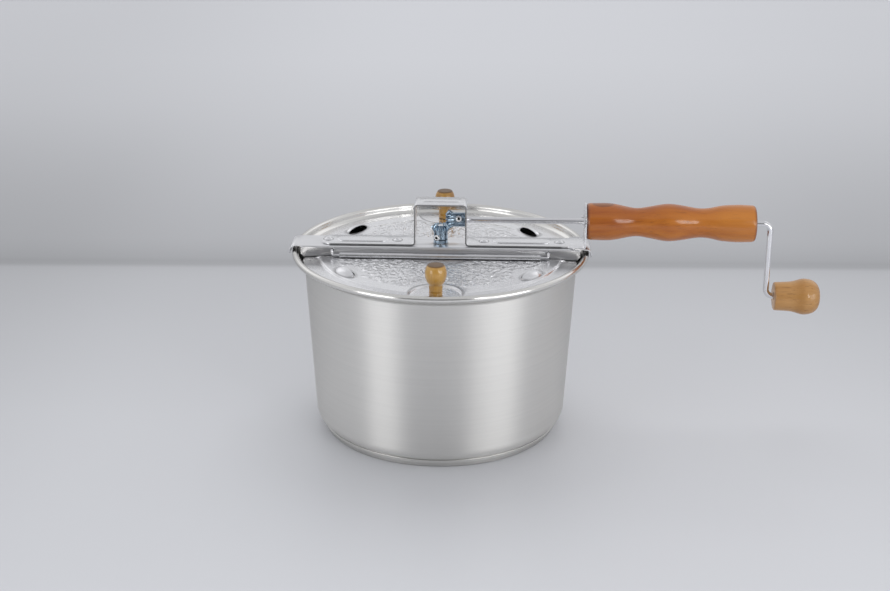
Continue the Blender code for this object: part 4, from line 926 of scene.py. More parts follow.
FINISHES["strap_steel"] = steel(
    "strap_steel", POLISHED_TINT, 0.27, LONG_STREAKS, 1.0e-6, 0.03, painted_shade=strap_painted_shade
)
strip = sheet([[[(x, -half, z), (x, half, z)] for x, z, half in bracket_stations()]], BRACKET_SHEET, 0)
strip = carve(strip, bracket_ribs, operation="UNION")
strap = carve(strip, bracket_holes, bevel(SHEET_BREAK))
fit("gear_strap", strap, "lid_frame", "polished_steel", "gear_bracket", finish="strap_steel")

# %% [markdown]
# ## Repeats with Geometry Nodes
# Rivets and screws are the same shape again and again, which is what instances are for.
# The tree below puts one pattern piece, already turned the right way, on every point of a blank mesh.
# It ends in Realize Instances, because the exported model has no instances.

# %% A geometry recipe
class Recipe(Tree):
    """A Geometry Nodes tree with named inputs, run once on a blank."""

    def __init__(self, name, inputs):
        super().__init__(bpy.data.node_groups.new(name, "GeometryNodeTree"))
        sockets = self.nodes.interface
        sockets.new_socket("Geometry", in_out="INPUT", socket_type="NodeSocketGeometry")
        for title, kind in inputs.items():
            sockets.new_socket(title, in_out="INPUT", socket_type="NodeSocket" + kind)
        sockets.new_socket("Finish", in_out="INPUT", socket_type="NodeSocketMaterial")
        sockets.new_socket("Geometry", in_out="OUTPUT", socket_type="NodeSocketGeometry")
        self.entry = self.nodes.nodes.new("NodeGroupInput")
        self.exit = self.nodes.nodes.new("NodeGroupOutput")

    def given(self, title):
        return Link(self, self.entry.outputs[title])

    def close(self, geometry):
        real = self.add("GeometryNodeRealizeInstances", values={"Geometry": geometry})
        smooth = self.add("GeometryNodeSetShadeSmooth", values={"Geometry": real})
        dressing = {"Geometry": smooth, "Material": self.given("Finish")}
        self.join(self.exit.inputs[0], self.add("GeometryNodeSetMaterial", values=dressing))

    def run(self, mesh, slot, **inputs):
        """The recipe's result on a blank mesh, as a plain mesh."""
        blank = placed("blank", mesh)
        modifier = blank.modifiers.new("recipe", "NODES")
        modifier.node_group = self.nodes
        inputs = {**inputs, "Finish": FINISHES[slot]}
        for item in self.nodes.interface.items_tree:
            if item.in_out == "INPUT" and item.name in inputs:
                modifier[item.identifier] = inputs[item.name]
        result = converted(blank)
        bpy.data.objects.remove(blank)
        return result


# %% Rivets as instances
repeat = Recipe("one_piece_on_every_point", {"Pattern": "Object"})
pattern = repeat.add(
    "GeometryNodeObjectInfo", {"transform_space": "ORIGINAL"}, {"Object": repeat.given("Pattern")}, "Geometry"
)
copies = repeat.add(
    "GeometryNodeInstanceOnPoints", values={"Points": repeat.given("Geometry"), "Instance": pattern}
)
repeat.close(copies)


def path_mesh(name, points, edges=()):
    """Bare points, and the edges between them if there are any."""
    mesh = bpy.data.meshes.new(name)
    mesh.from_pydata([tuple(p) for p in points], edges, [])
    return mesh


def repeated(profile, steps, points, slot, turn=None):
    """A turned piece repeated on every point, all of them in one mesh."""
    pattern_object = placed("pattern", lathe(profile, steps, turn))
    mesh = repeat.run(path_mesh("points", points), slot, Pattern=pattern_object)
    bpy.data.objects.remove(pattern_object)
    return mesh


RIVET_HEAD = 0.0036
RIVET_RISE = 0.0010
RIVET_PLAY = 0.00005
rivet_top = FOOT_TOP + RIVET_PLAY
rivet_tail = BRIDGE_TOP - BRIDGE_SHEET - RIVET_PLAY
RIVET_PROFILE = [(0, rivet_top - 0.0006), (RIVET_RADIUS * 0.55, rivet_top - 0.0005)]
RIVET_PROFILE += arc(RIVET_RADIUS * 0.95, rivet_top + RIVET_RISE * 0.55, RIVET_RADIUS * 0.28, 180, 40, 6)
RIVET_PROFILE += [
    (RIVET_HEAD * 0.72, rivet_top + RIVET_RISE * 0.70), (RIVET_HEAD * 0.90, rivet_top + RIVET_RISE * 0.42),
    (RIVET_HEAD, rivet_top), (RIVET_RADIUS, rivet_top), (RIVET_RADIUS, rivet_tail),
    (RIVET_HEAD * 0.9, rivet_tail), (RIVET_HEAD * 0.84, rivet_tail - 0.0005),
    (RIVET_HEAD * 0.6, rivet_tail - RIVET_RISE), (0, rivet_tail - RIVET_RISE),
]
rivets = repeated(RIVET_PROFILE, 32, [(x, 0, 0) for x in RIVET_PLACES], "polished_steel")
fit("bracket_rivets", rivets, "lid_frame", "polished_steel", *[f"bracket_rivet_{i}" for i in (1, 2, 3, 4)])

# %% Handle screws
SCREW_RADIUS = 0.0016
SCREW_REACH = 0.0170
SCREW_PITCH = 0.0013
SCREW_PROFILE = [(0, SCREW_REACH), (SCREW_RADIUS * 0.3, SCREW_REACH - 0.0004)]
for turn_number in range(9):
    thread = SCREW_REACH - 0.0040 - turn_number * SCREW_PITCH
    SCREW_PROFILE += [(SCREW_RADIUS, thread), (SCREW_RADIUS * 0.74, thread - SCREW_PITCH / 2)]
head = -BRACKET_SHEET - 2 * GAP
SCREW_PROFILE += [
    (SCREW_RADIUS, head), (SCREW_RADIUS * 2.0, head), (SCREW_RADIUS * 1.9, head - 0.0007),
    (SCREW_RADIUS * 1.4, head - 0.0014), (SCREW_RADIUS * 0.5, head - 0.0018),
    (SCREW_RADIUS * 0.45, head - 0.0009), (0, head - 0.0009),
]
places = [(TONGUE_X + GAP, y, ROD_Z) for y in (-HANDLE_SCREW_Y, HANDLE_SCREW_Y)]
screws = repeated(SCREW_PROFILE, 20, places, "zinc_plate", Matrix.Rotation(math.pi / 2, 4, "Y"))
screw_nodes = ("handle_screw_1", "handle_screw_2")
fit("handle_screws", screws, "lid_frame", "zinc_plate", *screw_nodes, finish="bright_wire")

# %% [markdown]
# ## Wires
# The hinge pins, the crank and the stirrer are bent wire, so each follows a path.
# Mesh to Curve and Curve to Mesh sweep a circle along it, with its radius as a named input.
# Corners are rounded in the path itself, where a bending tool would have rounded them.

# %% A wire recipe
wire = Recipe("wire_along_a_path", {"Radius": "Float", "Sides": "Int"})
line = wire.add("GeometryNodeMeshToCurve", values={"Mesh": wire.given("Geometry")})
circle = {"Resolution": wire.given("Sides"), "Radius": wire.given("Radius")}
ring = wire.add("GeometryNodeCurvePrimitiveCircle", values=circle)
swept = wire.add("GeometryNodeCurveToMesh", values={"Curve": line, "Profile Curve": ring, "Fill Caps": True})
wire.close(swept)


def bent_wire(path, radius, sides, slot):
    """A wire along a path, its cut ends slightly rounded."""
    mesh = path_mesh("path", path, [(i, i + 1) for i in range(len(path) - 1)])
    return shaped(wire.run(mesh, slot, Radius=radius, Sides=sides), bevel(radius * 0.18))


# %% Hinge wires
HINGE_Y = 0.0172
HINGE_Z = 0.1544
FLAP_SIDES = (("front", -1), ("back", 1))
for name, side in FLAP_SIDES:
    inside = side * (BRIDGE_HALF_WIDTH - 0.0020)
    half = [(inside, WIRE_HOLE_Z), (side * HINGE_Y, WIRE_HOLE_Z), (side * HINGE_Y, HINGE_Z)]
    corners = [(-WIRE_END_X, y, z) for y, z in half] + [(WIRE_END_X, y, z) for y, z in half[::-1]]
    pin = bent_wire(rounded_path(corners, WIRE_RADIUS * 1.35, 6), WIRE_RADIUS, 16, "bright_wire")
    fit(f"{name}_hinge_pin", pin, "lid_frame", "bright_wire", f"{name}_hinge_wire")

# %% [markdown]
# ## The flaps
# Each flap is a half disc of thin polished sheet: a raised panel with a notch round the knob,
# a lower band along the rim, a curl rolled over the hinge wire and two louvers that let out steam.
# The flap is drawn on rays from the pot's axis, so that its rows follow the rim and the panel's edge.
# A plain grid cut to a half disc would leave ragged steps along both.

# %% Flap sizes
LID_RADIUS = 0.1165
LID_SHEET = 0.0006
PANEL_RISE = 0.0016
PANEL_RADIUS = LID_RADIUS - 0.0155
STEP_WIDTH = 0.0020
KNOB_Y = LID_RADIUS - 0.0165
KNOB_PAD = 0.0210
CURL_RADIUS = 0.0024
CURL_HALF_LENGTH = 0.0840
CURL_SWEEP = math.radians(300)
CURL_STEPS = 22
TAIL_Y = BRIDGE_HALF_WIDTH + 0.0008
TAIL_TRIM = 0.0015
CURL_END = math.atan2(HINGE_Y, CURL_HALF_LENGTH)
TAIL_END = math.asin(TAIL_Y / (LID_RADIUS - TAIL_TRIM))
LOUVER_ANGLE = math.radians(36.4)
LOUVER_RADIUS = LID_RADIUS - 0.0221
LOUVER_X = LOUVER_RADIUS * math.cos(LOUVER_ANGLE)
LOUVER_Y = LOUVER_RADIUS * math.sin(LOUVER_ANGLE)
LOUVER_SIZE = Vector((0.0250, 0.0136, 0.0043))
HOOD_SHEET = 0.0007
HOOD_REACH = 0.0014
SCREW_HOLE = 0.0018
KNOB_FADE = (0.024, 0.029)
LOUVER_FADE = (0.0145, 0.0185)
HINGE_FADE = (HINGE_Y + 0.0030, HINGE_Y + 0.0060)
PANEL_ROWS = 74
RAYS = 220
print(f"flap: radius {LID_RADIUS} m, louvers {LOUVER_X:.4f} m to the side and {LOUVER_Y:.4f} m out")


def panel_edge(off):
    """Radius of the raised panel's edge at an angle off the knob's line."""
    reach = KNOB_Y * math.sin(abs(off))
    if reach >= KNOB_PAD:
        return PANEL_RADIUS
    notch = KNOB_Y * math.cos(off) - math.sqrt(KNOB_PAD**2 - reach**2)
    return min(PANEL_RADIUS, notch)


def lid_edge(angle):
    """Radius of the flap's edge, drawn in beside the hinge."""
    share = (CURL_END - min(angle, math.pi - angle)) / (CURL_END - TAIL_END)
    return LID_RADIUS - TAIL_TRIM * max(share, 0)


def ray_angles():
    """Angles of the rays; those at the hinge's ends are exact, so that the curl has clean ends."""
    tail = [TAIL_END + (CURL_END - TAIL_END) * i / 6 for i in range(6)]
    body = [CURL_END + (math.pi / 2 - CURL_END) * i / (RAYS // 2) for i in range(RAYS // 2)]
    half = tail + body
    return half + [math.pi / 2] + [math.pi - angle for angle in half[::-1]]


# %% Flap skin
def ray_points(angle):
    """Points of one ray, from the hinge line out to the rim, in the flap's own coordinates."""
    off = angle - math.pi / 2
    edge_y = HINGE_Y if abs(off) <= math.pi / 2 - CURL_END + 1e-9 else TAIL_Y
    start = edge_y / math.cos(off)
    panel = panel_edge(off)
    radii = [start + (panel - start) * i / PANEL_ROWS for i in range(PANEL_ROWS)]
    radii += [panel + STEP_WIDTH * i / 6 for i in range(6)]
    outer = panel + STEP_WIDTH
    radii += [outer + (lid_edge(angle) - outer) * i / 12 for i in range(13)]
    points = []
    for radius in radii:
        radius = max(radius, min(start, lid_edge(angle)))
        share = min(max((radius - panel) / STEP_WIDTH, 0), 1)
        z = -CURL_RADIUS - PANEL_RISE * share * share * (3 - 2 * share)
        points.append(Vector((radius * math.cos(angle), HINGE_Y - radius * math.sin(angle), z)))
    return points


def flap_skin():
    """The flap's upper skin, its straight edge rolled round the hinge's axis."""
    bm = bmesh.new()
    grid_faces(bm, [ray_points(angle) for angle in ray_angles()])
    weld(bm)
    limit = CURL_HALF_LENGTH + 1e-5
    edges = [
        edge
        for edge in bm.edges
        if edge.is_boundary and all(abs(v.co.y) < 1e-6 and abs(v.co.x) < limit for v in edge.verts)
    ]
    turn = Matrix.Rotation(CURL_SWEEP / CURL_STEPS, 3, "X")
    for _ in range(CURL_STEPS):
        grown = bmesh.ops.extrude_edge_only(bm, edges=edges)["geom"]
        edges = [item for item in grown if isinstance(item, bmesh.types.BMEdge)]
        verts = [item for item in grown if isinstance(item, bmesh.types.BMVert)]
        bmesh.ops.rotate(bm, verts=verts, cent=(0, 0, 0), matrix=turn)
    bmesh.ops.recalc_face_normals(bm, faces=bm.faces)
    if sum(face.normal.z * face.calc_area() for face in bm.faces) > 0:
        bmesh.ops.reverse_faces(bm, faces=bm.faces)
    return to_mesh(bm)


skin = flap_skin()
print("flap skin:", len(skin.polygons), "faces")

# %% [markdown]
# ## Pressing the pebbles
# The press pattern is a rule, so Geometry Nodes press it: Voronoi cells with rounded tops,
# lifted only in a ring round the pot's axis, and faded out near the knob, the louvers and the hinge.
# Moving the real sheet, rather than adding a bump, keeps the pattern in the exported mesh.

# %% The pressing recipe
press = Recipe(
    "pressed_pebbles",
    {"Height": "Float", "Cell": "Float", "Inner radius": "Float", "Outer radius": "Float", "Seed": "Float"},
)
spot = press.add("GeometryNodeInputPosition")


def pressed_zone(tree, x, y, inner, outer):
    """1 inside the pressed ring and 0 outside it; y is counted from the bridge's middle line."""
    x = abs(x)
    from_knob = tree.reach(x, y - KNOB_Y)
    from_louver = tree.reach(x - LOUVER_X, y - LOUVER_Y)
    mask = tree.band(tree.reach(x, y), inner, inner + 0.005, outer - 0.004, outer)
    mask = mask * tree.smooth(from_knob, *KNOB_FADE)
    mask = mask * tree.smooth(from_louver, *LOUVER_FADE)
    return mask * tree.smooth(y, *HINGE_FADE)


flap_x, flap_y, _ = press.axes(spot)
zone = pressed_zone(
    press, flap_x, HINGE_Y - flap_y, press.given("Inner radius"), press.given("Outer radius")
)
shift = press.add("ShaderNodeCombineXYZ", values={"X": press.given("Seed"), "Y": press.given("Seed")})
moved = press.add("ShaderNodeVectorMath", {"operation": "ADD"}, {0: spot, 1: shift})
to_edge = press.add(
    "ShaderNodeTexVoronoi", {"feature": "DISTANCE_TO_EDGE", "voronoi_dimensions": "2D"},
    {"Vector": moved, "Scale": 1 / press.given("Cell"), "Randomness": 0.85}, "Distance",
)
pebble = press.smooth(to_edge, 0.0, 0.30)
lift = press.add("ShaderNodeCombineXYZ", values={"Z": pebble * zone * press.given("Height")})
pressed = press.add("GeometryNodeSetPosition", values={"Geometry": press.given("Geometry"), "Offset": lift})
press.close(pressed)

# %% [markdown]
# ## Louvers
# A louver is a slot with half a dome over it, pressed up from the same sheet.
# The dome is a skin with its own thickness, joined to the flap by a Boolean after the slot is cut.

# %% Louvers
HOOD_SUNK = LID_SHEET * 0.5


def louver_place(side):
    """The place and turn of a louver in the flap's own coordinates, its +Y towards the rim."""
    place = Matrix.Translation((side * LOUVER_X, HINGE_Y - LOUVER_Y, LID_SHEET - CURL_RADIUS))
    return place @ Matrix.Rotation(side * (math.pi / 2 - LOUVER_ANGLE) - math.pi, 4, "Z")


def hood(side):
    """Half a dome over the louver's outer side, open towards the bridge."""
    rows = []
    for i in range(25):
        along = math.pi * i / 24
        row = []
        for j in range(9):
            up = math.pi / 2 * j / 8
            x = -LOUVER_SIZE.x / 2 * math.cos(along)
            y = LOUVER_SIZE.y / 2 * math.sin(along) * math.cos(up) - HOOD_REACH * math.sin(up)
            z = (LOUVER_SIZE.z + HOOD_SUNK) * math.sin(along) * math.sin(up) - HOOD_SUNK
            row.append(louver_place(side) @ Vector((x, y, z)))
        rows.append(row)
    bm = bmesh.new()
    grid_faces(bm, rows)
    bmesh.ops.remove_doubles(bm, verts=bm.verts, dist=1e-6)
    bmesh.ops.recalc_face_normals(bm, faces=bm.faces)
    if sum(face.normal.z for face in bm.faces) < 0:
        bmesh.ops.reverse_faces(bm, faces=bm.faces)
    return shaped(to_mesh(bm), thicken(HOOD_SHEET))


def flap_openings(bm):
    """The slots under both hoods, and the hole for the knob's screw."""
    half_x = LOUVER_SIZE.x / 2 - HOOD_SHEET
    half_y = LOUVER_SIZE.y / 2 - HOOD_SHEET
    slot = [Vector((x * half_x, y * half_y, 0)) for x, y in arc(0, 0, 1, 0, 360, 40)[:-1]]
    for side in (-1, 1):
        oval = [louver_place(side) @ p for p in slot]
        loft(bm, [[p + Vector((0, 0, z)) for p in oval] for z in (-LID_SHEET - 0.002, LID_SHEET / 2)])
    level = -CURL_RADIUS - PANEL_RISE
    middle = HINGE_Y - KNOB_Y
    drill(bm, SCREW_HOLE, (0, middle, level - 0.002), (0, middle, level + 0.003), 24)


# %% [markdown]
# The mesh carries the broad pebbles. Fine curls between them, too small for its faces,
# are a bump: contour lines of a slow noise, rounded over, in the same zone.
# The shade in the curl, in the step round the knob and at the foot of each hood is painted by one more mask.

# %% The flaps' finish
INNER_RADIUS = 0.030
OUTER_RADIUS = 0.0905
CURL_SPACING = 0.020
CURL_DEPTH = 0.0009


def curls(finish):
    """The height of the curls, from 0 to 1, and their depth in metres."""
    x, y, _ = finish.axes(finish.place())
    waves = finish.noise(finish.place(), scale=1 / CURL_SPACING, detail=1.0, distortion=2.0) * 4
    saw = waves.step("PINGPONG", waves, 0.5) * 2
    zone = pressed_zone(finish, x, abs(y), INNER_RADIUS, OUTER_RADIUS)
    return finish.smooth(saw, 0.30, 0.80) * zone, CURL_DEPTH


def flap_painted_shade(finish):
    """Painted shade in the curl, along the notch round the knob and at the foot of each hood."""
    x, y = [abs(value) for value in finish.axes(finish.place())[:2]]
    mask = finish.smooth(y, HINGE_Y + 0.0020, HINGE_Y + 0.0030, 0.16, 0.0)
    from_knob = finish.reach(x, y - KNOB_Y)
    notch = finish.band(from_knob, KNOB_PAD - 0.0008, KNOB_PAD, KNOB_PAD + 0.0014, KNOB_PAD + 0.0026)
    mask = mask + notch * finish.smooth(finish.reach(x, y), PANEL_RADIUS, PANEL_RADIUS + 0.002, 0.42, 0.0)
    cos = math.cos(LOUVER_ANGLE)
    sin = math.sin(LOUVER_ANGLE)
    outward = x * cos + y * sin - LOUVER_RADIUS
    sideways = y * cos - x * sin
    from_hood = finish.reach(sideways / (LOUVER_SIZE.x / 2), outward / (LOUVER_SIZE.y / 2))
    return mask + finish.band(from_hood, 0.88, 0.98, 1.0, 1.35) * 0.34


FLAP_TINT = (0.875, 0.875, 0.89)
FLAP_SPECKS = (300, 300, 300)
FINISHES["flap_steel"] = steel(
    "flap_steel", FLAP_TINT, 0.25, FLAP_SPECKS, 2.0e-7, 0.04, painted_shade=flap_painted_shade, relief=curls
)

# %% Both flaps
PEBBLES = {"Height": 0.00042, "Cell": 0.0072, "Inner radius": INNER_RADIUS, "Outer radius": OUTER_RADIUS}
for name, side, turn, seed in (("front", -1, 0.0, 0.31), ("back", 1, math.pi, 0.87)):
    pressed_skin = press.run(skin.copy(), "flap_steel", Seed=seed, **PEBBLES)
    flap = carve(shaped(pressed_skin, thicken(LID_SHEET)), flap_openings)
    for louver_side in (-1, 1):
        hood_mesh = hood(louver_side)
        flap = carve(flap, lambda bm, m=hood_mesh: bm.from_mesh(m), operation="UNION")
    flap.transform(Matrix.Translation((0, side * HINGE_Y, HINGE_Z)) @ Matrix.Rotation(turn, 4, "Z"))
    fit(f"{name}_flap_sheet", flap, f"{name}_flap", "polished_steel", f"{name}_lid", finish="flap_steel")

# %% [markdown]
# ## Flap knobs
# Small turned knobs lift the flaps. The ball is cut flat on top, a ring is grooved round the foot
# of each stem, and a pan-head screw holds it from below.

# %% Knobs and their screws
KNOB_HEIGHT = 0.0252
BALL_RADIUS = 0.00875
NECK_RADIUS = 0.0054
NECK_GROOVE_Z = 0.0034
NECK_GROOVE_DEPTH = 0.0008
KNOB_SCREW_REACH = 0.0120
KNOB_SCREW_RADIUS = 0.0015
KNOB_SCREW_PITCH = 0.0011
BALL_SHAPE = [
    (0.66, 0.00002), (0.725, 0.00020), (0.78, 0.0008), (0.90, 0.0026), (0.975, 0.0048), (1.0, 0.0073),
    (0.975, 0.0098), (0.90, 0.0123), (0.78, 0.0145), (0.66, 0.0160), (0.617, 0.0172),
]


def knob_profile():
    """The knob from the middle of its flat top, down the stem and up the bore for the screw."""
    ball = smooth_line([(r * BALL_RADIUS, KNOB_HEIGHT - drop) for r, drop in BALL_SHAPE], 6)
    neck_top = KNOB_HEIGHT - BALL_SHAPE[-1][1]
    groove = NECK_RADIUS - NECK_GROOVE_DEPTH
    stem = [
        (NECK_RADIUS, neck_top - 0.0008), (NECK_RADIUS, NECK_GROOVE_Z + 0.0006),
        (groove, NECK_GROOVE_Z + 0.0001), (groove, NECK_GROOVE_Z - 0.0001),
        (NECK_RADIUS, NECK_GROOVE_Z - 0.0006), (NECK_RADIUS + 0.0001, 0.0006),
        (NECK_RADIUS - 0.0001, 0.0001), (NECK_RADIUS - 0.0006, 0.0),
    ]
    bore = [(SCREW_HOLE, 0), (SCREW_HOLE, KNOB_SCREW_REACH), (0, KNOB_SCREW_REACH + SCREW_HOLE)]
    return [(0, KNOB_HEIGHT), (BALL_RADIUS * 0.4, KNOB_HEIGHT)] + ball + stem + bore


def knob_screw_profile():
    """A threaded shank, and a pan head with a recess under the flap."""
    seat = -2 * GAP - LID_SHEET
    reach = KNOB_SCREW_REACH - GAP
    profile = [(0, reach), (0.0006, reach - 0.0008)]
    for i in range(8):
        thread = reach - 0.0020 - i * KNOB_SCREW_PITCH
        profile += [(KNOB_SCREW_RADIUS, thread), (0.0011, thread - 0.0006)]
    profile += [(KNOB_SCREW_RADIUS, seat), (0.0035, seat), (0.0034, seat - 0.0007), (0.0028, seat - 0.0014)]
    return profile + [(0.0010, seat - 0.0018), (0.0009, seat - 0.0009), (0, seat - 0.0009)]


BAND_TOP = POT_HEIGHT - 0.0069
for name, side in FLAP_SIDES:
    place = Matrix.Translation((0, side * KNOB_Y, BAND_TOP + GAP))
    knob = lathe(knob_profile(), 64, place)
    fit(f"{name}_pull", knob, f"{name}_flap", "flap_knob_wood", f"{name}_knob")
    screw = lathe(knob_screw_profile(), 24, place)
    fit(f"{name}_pull_screw", screw, f"{name}_flap", "zinc_plate", f"{name}_knob_screw")

# %% [markdown]
# ## The handle
# A long turned grip with two waists for the fingers. Its outline is a smooth curve through a few
# measured stations, and its ends are rounded over before they meet the bore for the crank rod.

# %% Handle
HANDLE_X = TONGUE_X + GAP
HANDLE_LENGTH = 0.1406
HANDLE_RADIUS = 0.0155
HANDLE_SHAPE = [
    (1.0, 0.025), (1.0, 0.145), (0.80, 0.262), (0.775, 0.315), (0.87, 0.380), (0.99, 0.452),
    (1.012, 0.500), (0.94, 0.566), (0.80, 0.660), (0.82, 0.725), (0.96, 0.803), (1.015, 0.895),
    (1.0, 0.958), (0.985, 0.984),
]
HANDLE_START = [(0.86, 0.0), (0.93, 0.0004), (0.975, 0.0013)]
HANDLE_END = [(0.955, 0.9935), (0.90, 0.998), (0.80, 1.0)]
outline = sized(HANDLE_START, HANDLE_RADIUS, 1)
outline += smooth_line(sized(HANDLE_SHAPE, HANDLE_RADIUS, HANDLE_LENGTH), 6)
outline += sized(HANDLE_END, HANDLE_RADIUS, HANDLE_LENGTH)
BORE = ROD_RADIUS + 0.0007
grip = [(BORE, HANDLE_LENGTH), (BORE + 0.0012, HANDLE_LENGTH)] + outline[::-1] + [(BORE, 0.0)]
handle_mesh = lathe(grip, 96, along_x(HANDLE_X, ROD_Z), ring=True)
fit("handle_grip", handle_mesh, "lid_frame", "handle_wood", "handle")

# %% [markdown]
# ## The crank
# One bent rod runs from the gear through the handle, turns down as the arm and ends in the knob.

# %% Crank rod and its knob
ARM_X = 0.2756
KNOB_START_X = 0.2824
KNOB_Z = ROD_Z - 0.0641
ROD_START = 0.0051
ROD_IN_KNOB = 0.0270
ROD_END = KNOB_START_X + ROD_IN_KNOB
ROD_BEND = 0.0065
corners = [(ROD_START, 0, ROD_Z), (ARM_X, 0, ROD_Z), (ARM_X, 0, KNOB_Z), (ROD_END, 0, KNOB_Z)]
rod = bent_wire(rounded_path(corners, ROD_BEND, 16), ROD_RADIUS, 32, "bright_wire")
fit("crank_wire", rod, "crank", "bright_wire", "crank_rod")

CRANK_KNOB_RADIUS = 0.0153
CRANK_KNOB_LENGTH = 0.0390
CRANK_SHAPE = [
    (0.785, 0.025), (0.815, 0.28), (0.855, 0.41), (0.975, 0.58), (1.0, 0.66), (0.965, 0.765),
    (0.885, 0.85), (0.72, 0.93), (0.49, 0.975),
]
outline = sized([(0.70, 0.0), (0.755, 0.0003)], CRANK_KNOB_RADIUS, 1)
outline += smooth_line(sized(CRANK_SHAPE, CRANK_KNOB_RADIUS, CRANK_KNOB_LENGTH), 6)
outline += sized([(0.24, 0.996)], CRANK_KNOB_RADIUS, CRANK_KNOB_LENGTH)
depth = ROD_IN_KNOB + 0.0010
profile = [(0, CRANK_KNOB_LENGTH)] + outline[::-1] + [(BORE, 0), (BORE, depth), (0, depth + BORE)]
crank_knob = lathe(profile, 80, along_x(KNOB_START_X, KNOB_Z))
fit("crank_grip_knob", crank_knob, "crank_grip", "crank_knob_wood", "crank_knob")

# %% [markdown]
# ## The miter gears
# Two equal gears at a right angle share one apex, where the shafts' axes cross.
# A tooth of a miter gear is a straight line drawn from the apex, so every ring of points is
# the same outline scaled towards it. The drive gear is turned by half a tooth, so that they mesh.

# %% Gear shape
TEETH = 12
MODULE = 0.00125
PITCH_RADIUS = MODULE * TEETH / 2
PRESSURE = math.tan(math.radians(20))
SMALL_END = 0.60
HUB_RADIUS = 0.0060
HUB_START = PITCH_RADIUS + 0.0033
GEAR_BORE = 0.0028
PIN_HOLE = 0.0017
PIN_HOLE_REACH = 0.009
GEAR_BREAK = 0.00014
APEX = Vector((0, 0, ROD_Z))
print(f"gears: {TEETH} teeth of module {MODULE * 1000} mm, pitch radius {PITCH_RADIUS * 1000} mm")


def tooth_outline():
    """(angle, level) pairs round one tooth, where level goes from 0 at the root to 1 at the tip."""
    share = math.sqrt(0.5)
    top = MODULE * 0.95
    root = MODULE * 1.15
    thick = math.pi * MODULE / 2 - 0.00045
    tip_half = (thick / 2 - top * PRESSURE) / PITCH_RADIUS
    root_half = (thick / 2 + root * PRESSURE) / PITCH_RADIUS
    pairs = []
    for level in (0.0, 0.35, 0.7, 1.0):
        belly = math.sin(math.pi * level) * 0.012
        pairs.append((-(root_half + (tip_half - root_half) * level + belly), level))
    pairs += [(-angle, level) for angle, level in pairs[::-1]]
    ends = {0.0: -root * share, 1.0: top * share}
    return [(angle, ends[0.0] + (ends[1.0] - ends[0.0]) * level) for angle, level in pairs]


def gear(hub_end, place, bore_end, pin_place):
    """A bored gear about Z, its apex at the origin and its hub towards -Z, moved to its place."""
    bm = bmesh.new()
    outline = tooth_outline()

    def ring(place_of):
        points = []
        for tooth in range(TEETH):
            for offset, rise in outline:
                radius, z = place_of(rise)
                angle = 2 * math.pi * tooth / TEETH + offset
                points.append((radius * math.cos(angle), radius * math.sin(angle), z))
        return points

    floor = outline[0][1]
    small_root = (PITCH_RADIUS + floor) * SMALL_END
    rings = [
        ring(lambda rise: (HUB_RADIUS, -hub_end)),
        ring(lambda rise: (HUB_RADIUS, -HUB_START)),
        ring(lambda rise: (PITCH_RADIUS + rise, -PITCH_RADIUS + rise)),
        ring(lambda rise: ((PITCH_RADIUS + rise) * SMALL_END, (-PITCH_RADIUS + rise) * SMALL_END)),
        ring(lambda rise: (small_root * 0.94, (-PITCH_RADIUS + floor) * SMALL_END + 0.0002)),
    ]
    loft(bm, rings)
    bmesh.ops.transform(bm, matrix=place, verts=bm.verts)
    blank = to_mesh(bm)

    def holes(tools):
        drill(tools, GEAR_BORE, APEX, bore_end)
        centre, direction = pin_place
        reach = direction.normalized() * PIN_HOLE_REACH
        drill(tools, PIN_HOLE, centre - reach, centre + reach, 20)

    return carve(blank, holes, bevel(GEAR_BREAK))


# %% [markdown]
# ## Pinned hubs
# A hollow rivet through each hub pins the gear to its shaft. Light hardly reaches into the rivet,
# so a mask darkens its bore, measured from the rivet's own axis with a cross product.
# The upright gear's hub also has a turned groove, whose shade is painted as a dark line at one height.

# %% Both gears and their pins
PIN_RADIUS = 0.0014
PIN_HEAD = 0.0026
PIN_RISE = 0.0009
PIN_SET_BACK = 0.0052
PIN_BORE_SHADE = (0.00105, 0.0013, 0.97, 0.0)
PIN_TINT = (0.97, 0.97, 0.97)
DRIVE_HUB_END = HAT_HALF_LENGTH - BRACKET_SHEET - GAP
DRIVEN_HUB_END = ROD_Z - FOOT_BOTTOM
drive_turn = math.radians(23)
driven_turn = math.radians(30)
drive_pin = (
    Vector((DRIVE_HUB_END - PIN_SET_BACK, 0, ROD_Z)),
    Vector((0, -math.cos(drive_turn), math.sin(drive_turn))),
)
driven_pin = (
    Vector((0, 0, FOOT_BOTTOM + PIN_SET_BACK)),
    Vector((-math.sin(driven_turn), -math.cos(driven_turn), 0)),
)


def pin_profile():
    """A hollow rivet: a rolled collar round a deep dimple at each end."""
    reach = HUB_RADIUS + 0.0001
    half = [(0, reach - 0.0012), (PIN_RADIUS * 0.55, reach - 0.0010)]
    half += arc(PIN_RADIUS * 1.02, reach + PIN_RISE * 0.62, PIN_RISE * 0.42, 170, 20, 8)
    half += [(PIN_HEAD * 0.88, reach + PIN_RISE * 0.45), (PIN_HEAD, reach), (PIN_RADIUS, reach)]
    return half + [(r, -z) for r, z in half[::-1]]


def bore_painted_shade(centre, direction):
    """A rule of painted shade that darkens the bore of a rivet with this centre and direction."""
    def rule(finish):
        sides = {0: finish.place(centre), 1: direction.normalized()}
        off = finish.add("ShaderNodeVectorMath", {"operation": "CROSS_PRODUCT"}, sides)
        radius = finish.add("ShaderNodeVectorMath", {"operation": "LENGTH"}, {0: off}, "Value")
        return finish.smooth(radius, *PIN_BORE_SHADE)

    return rule


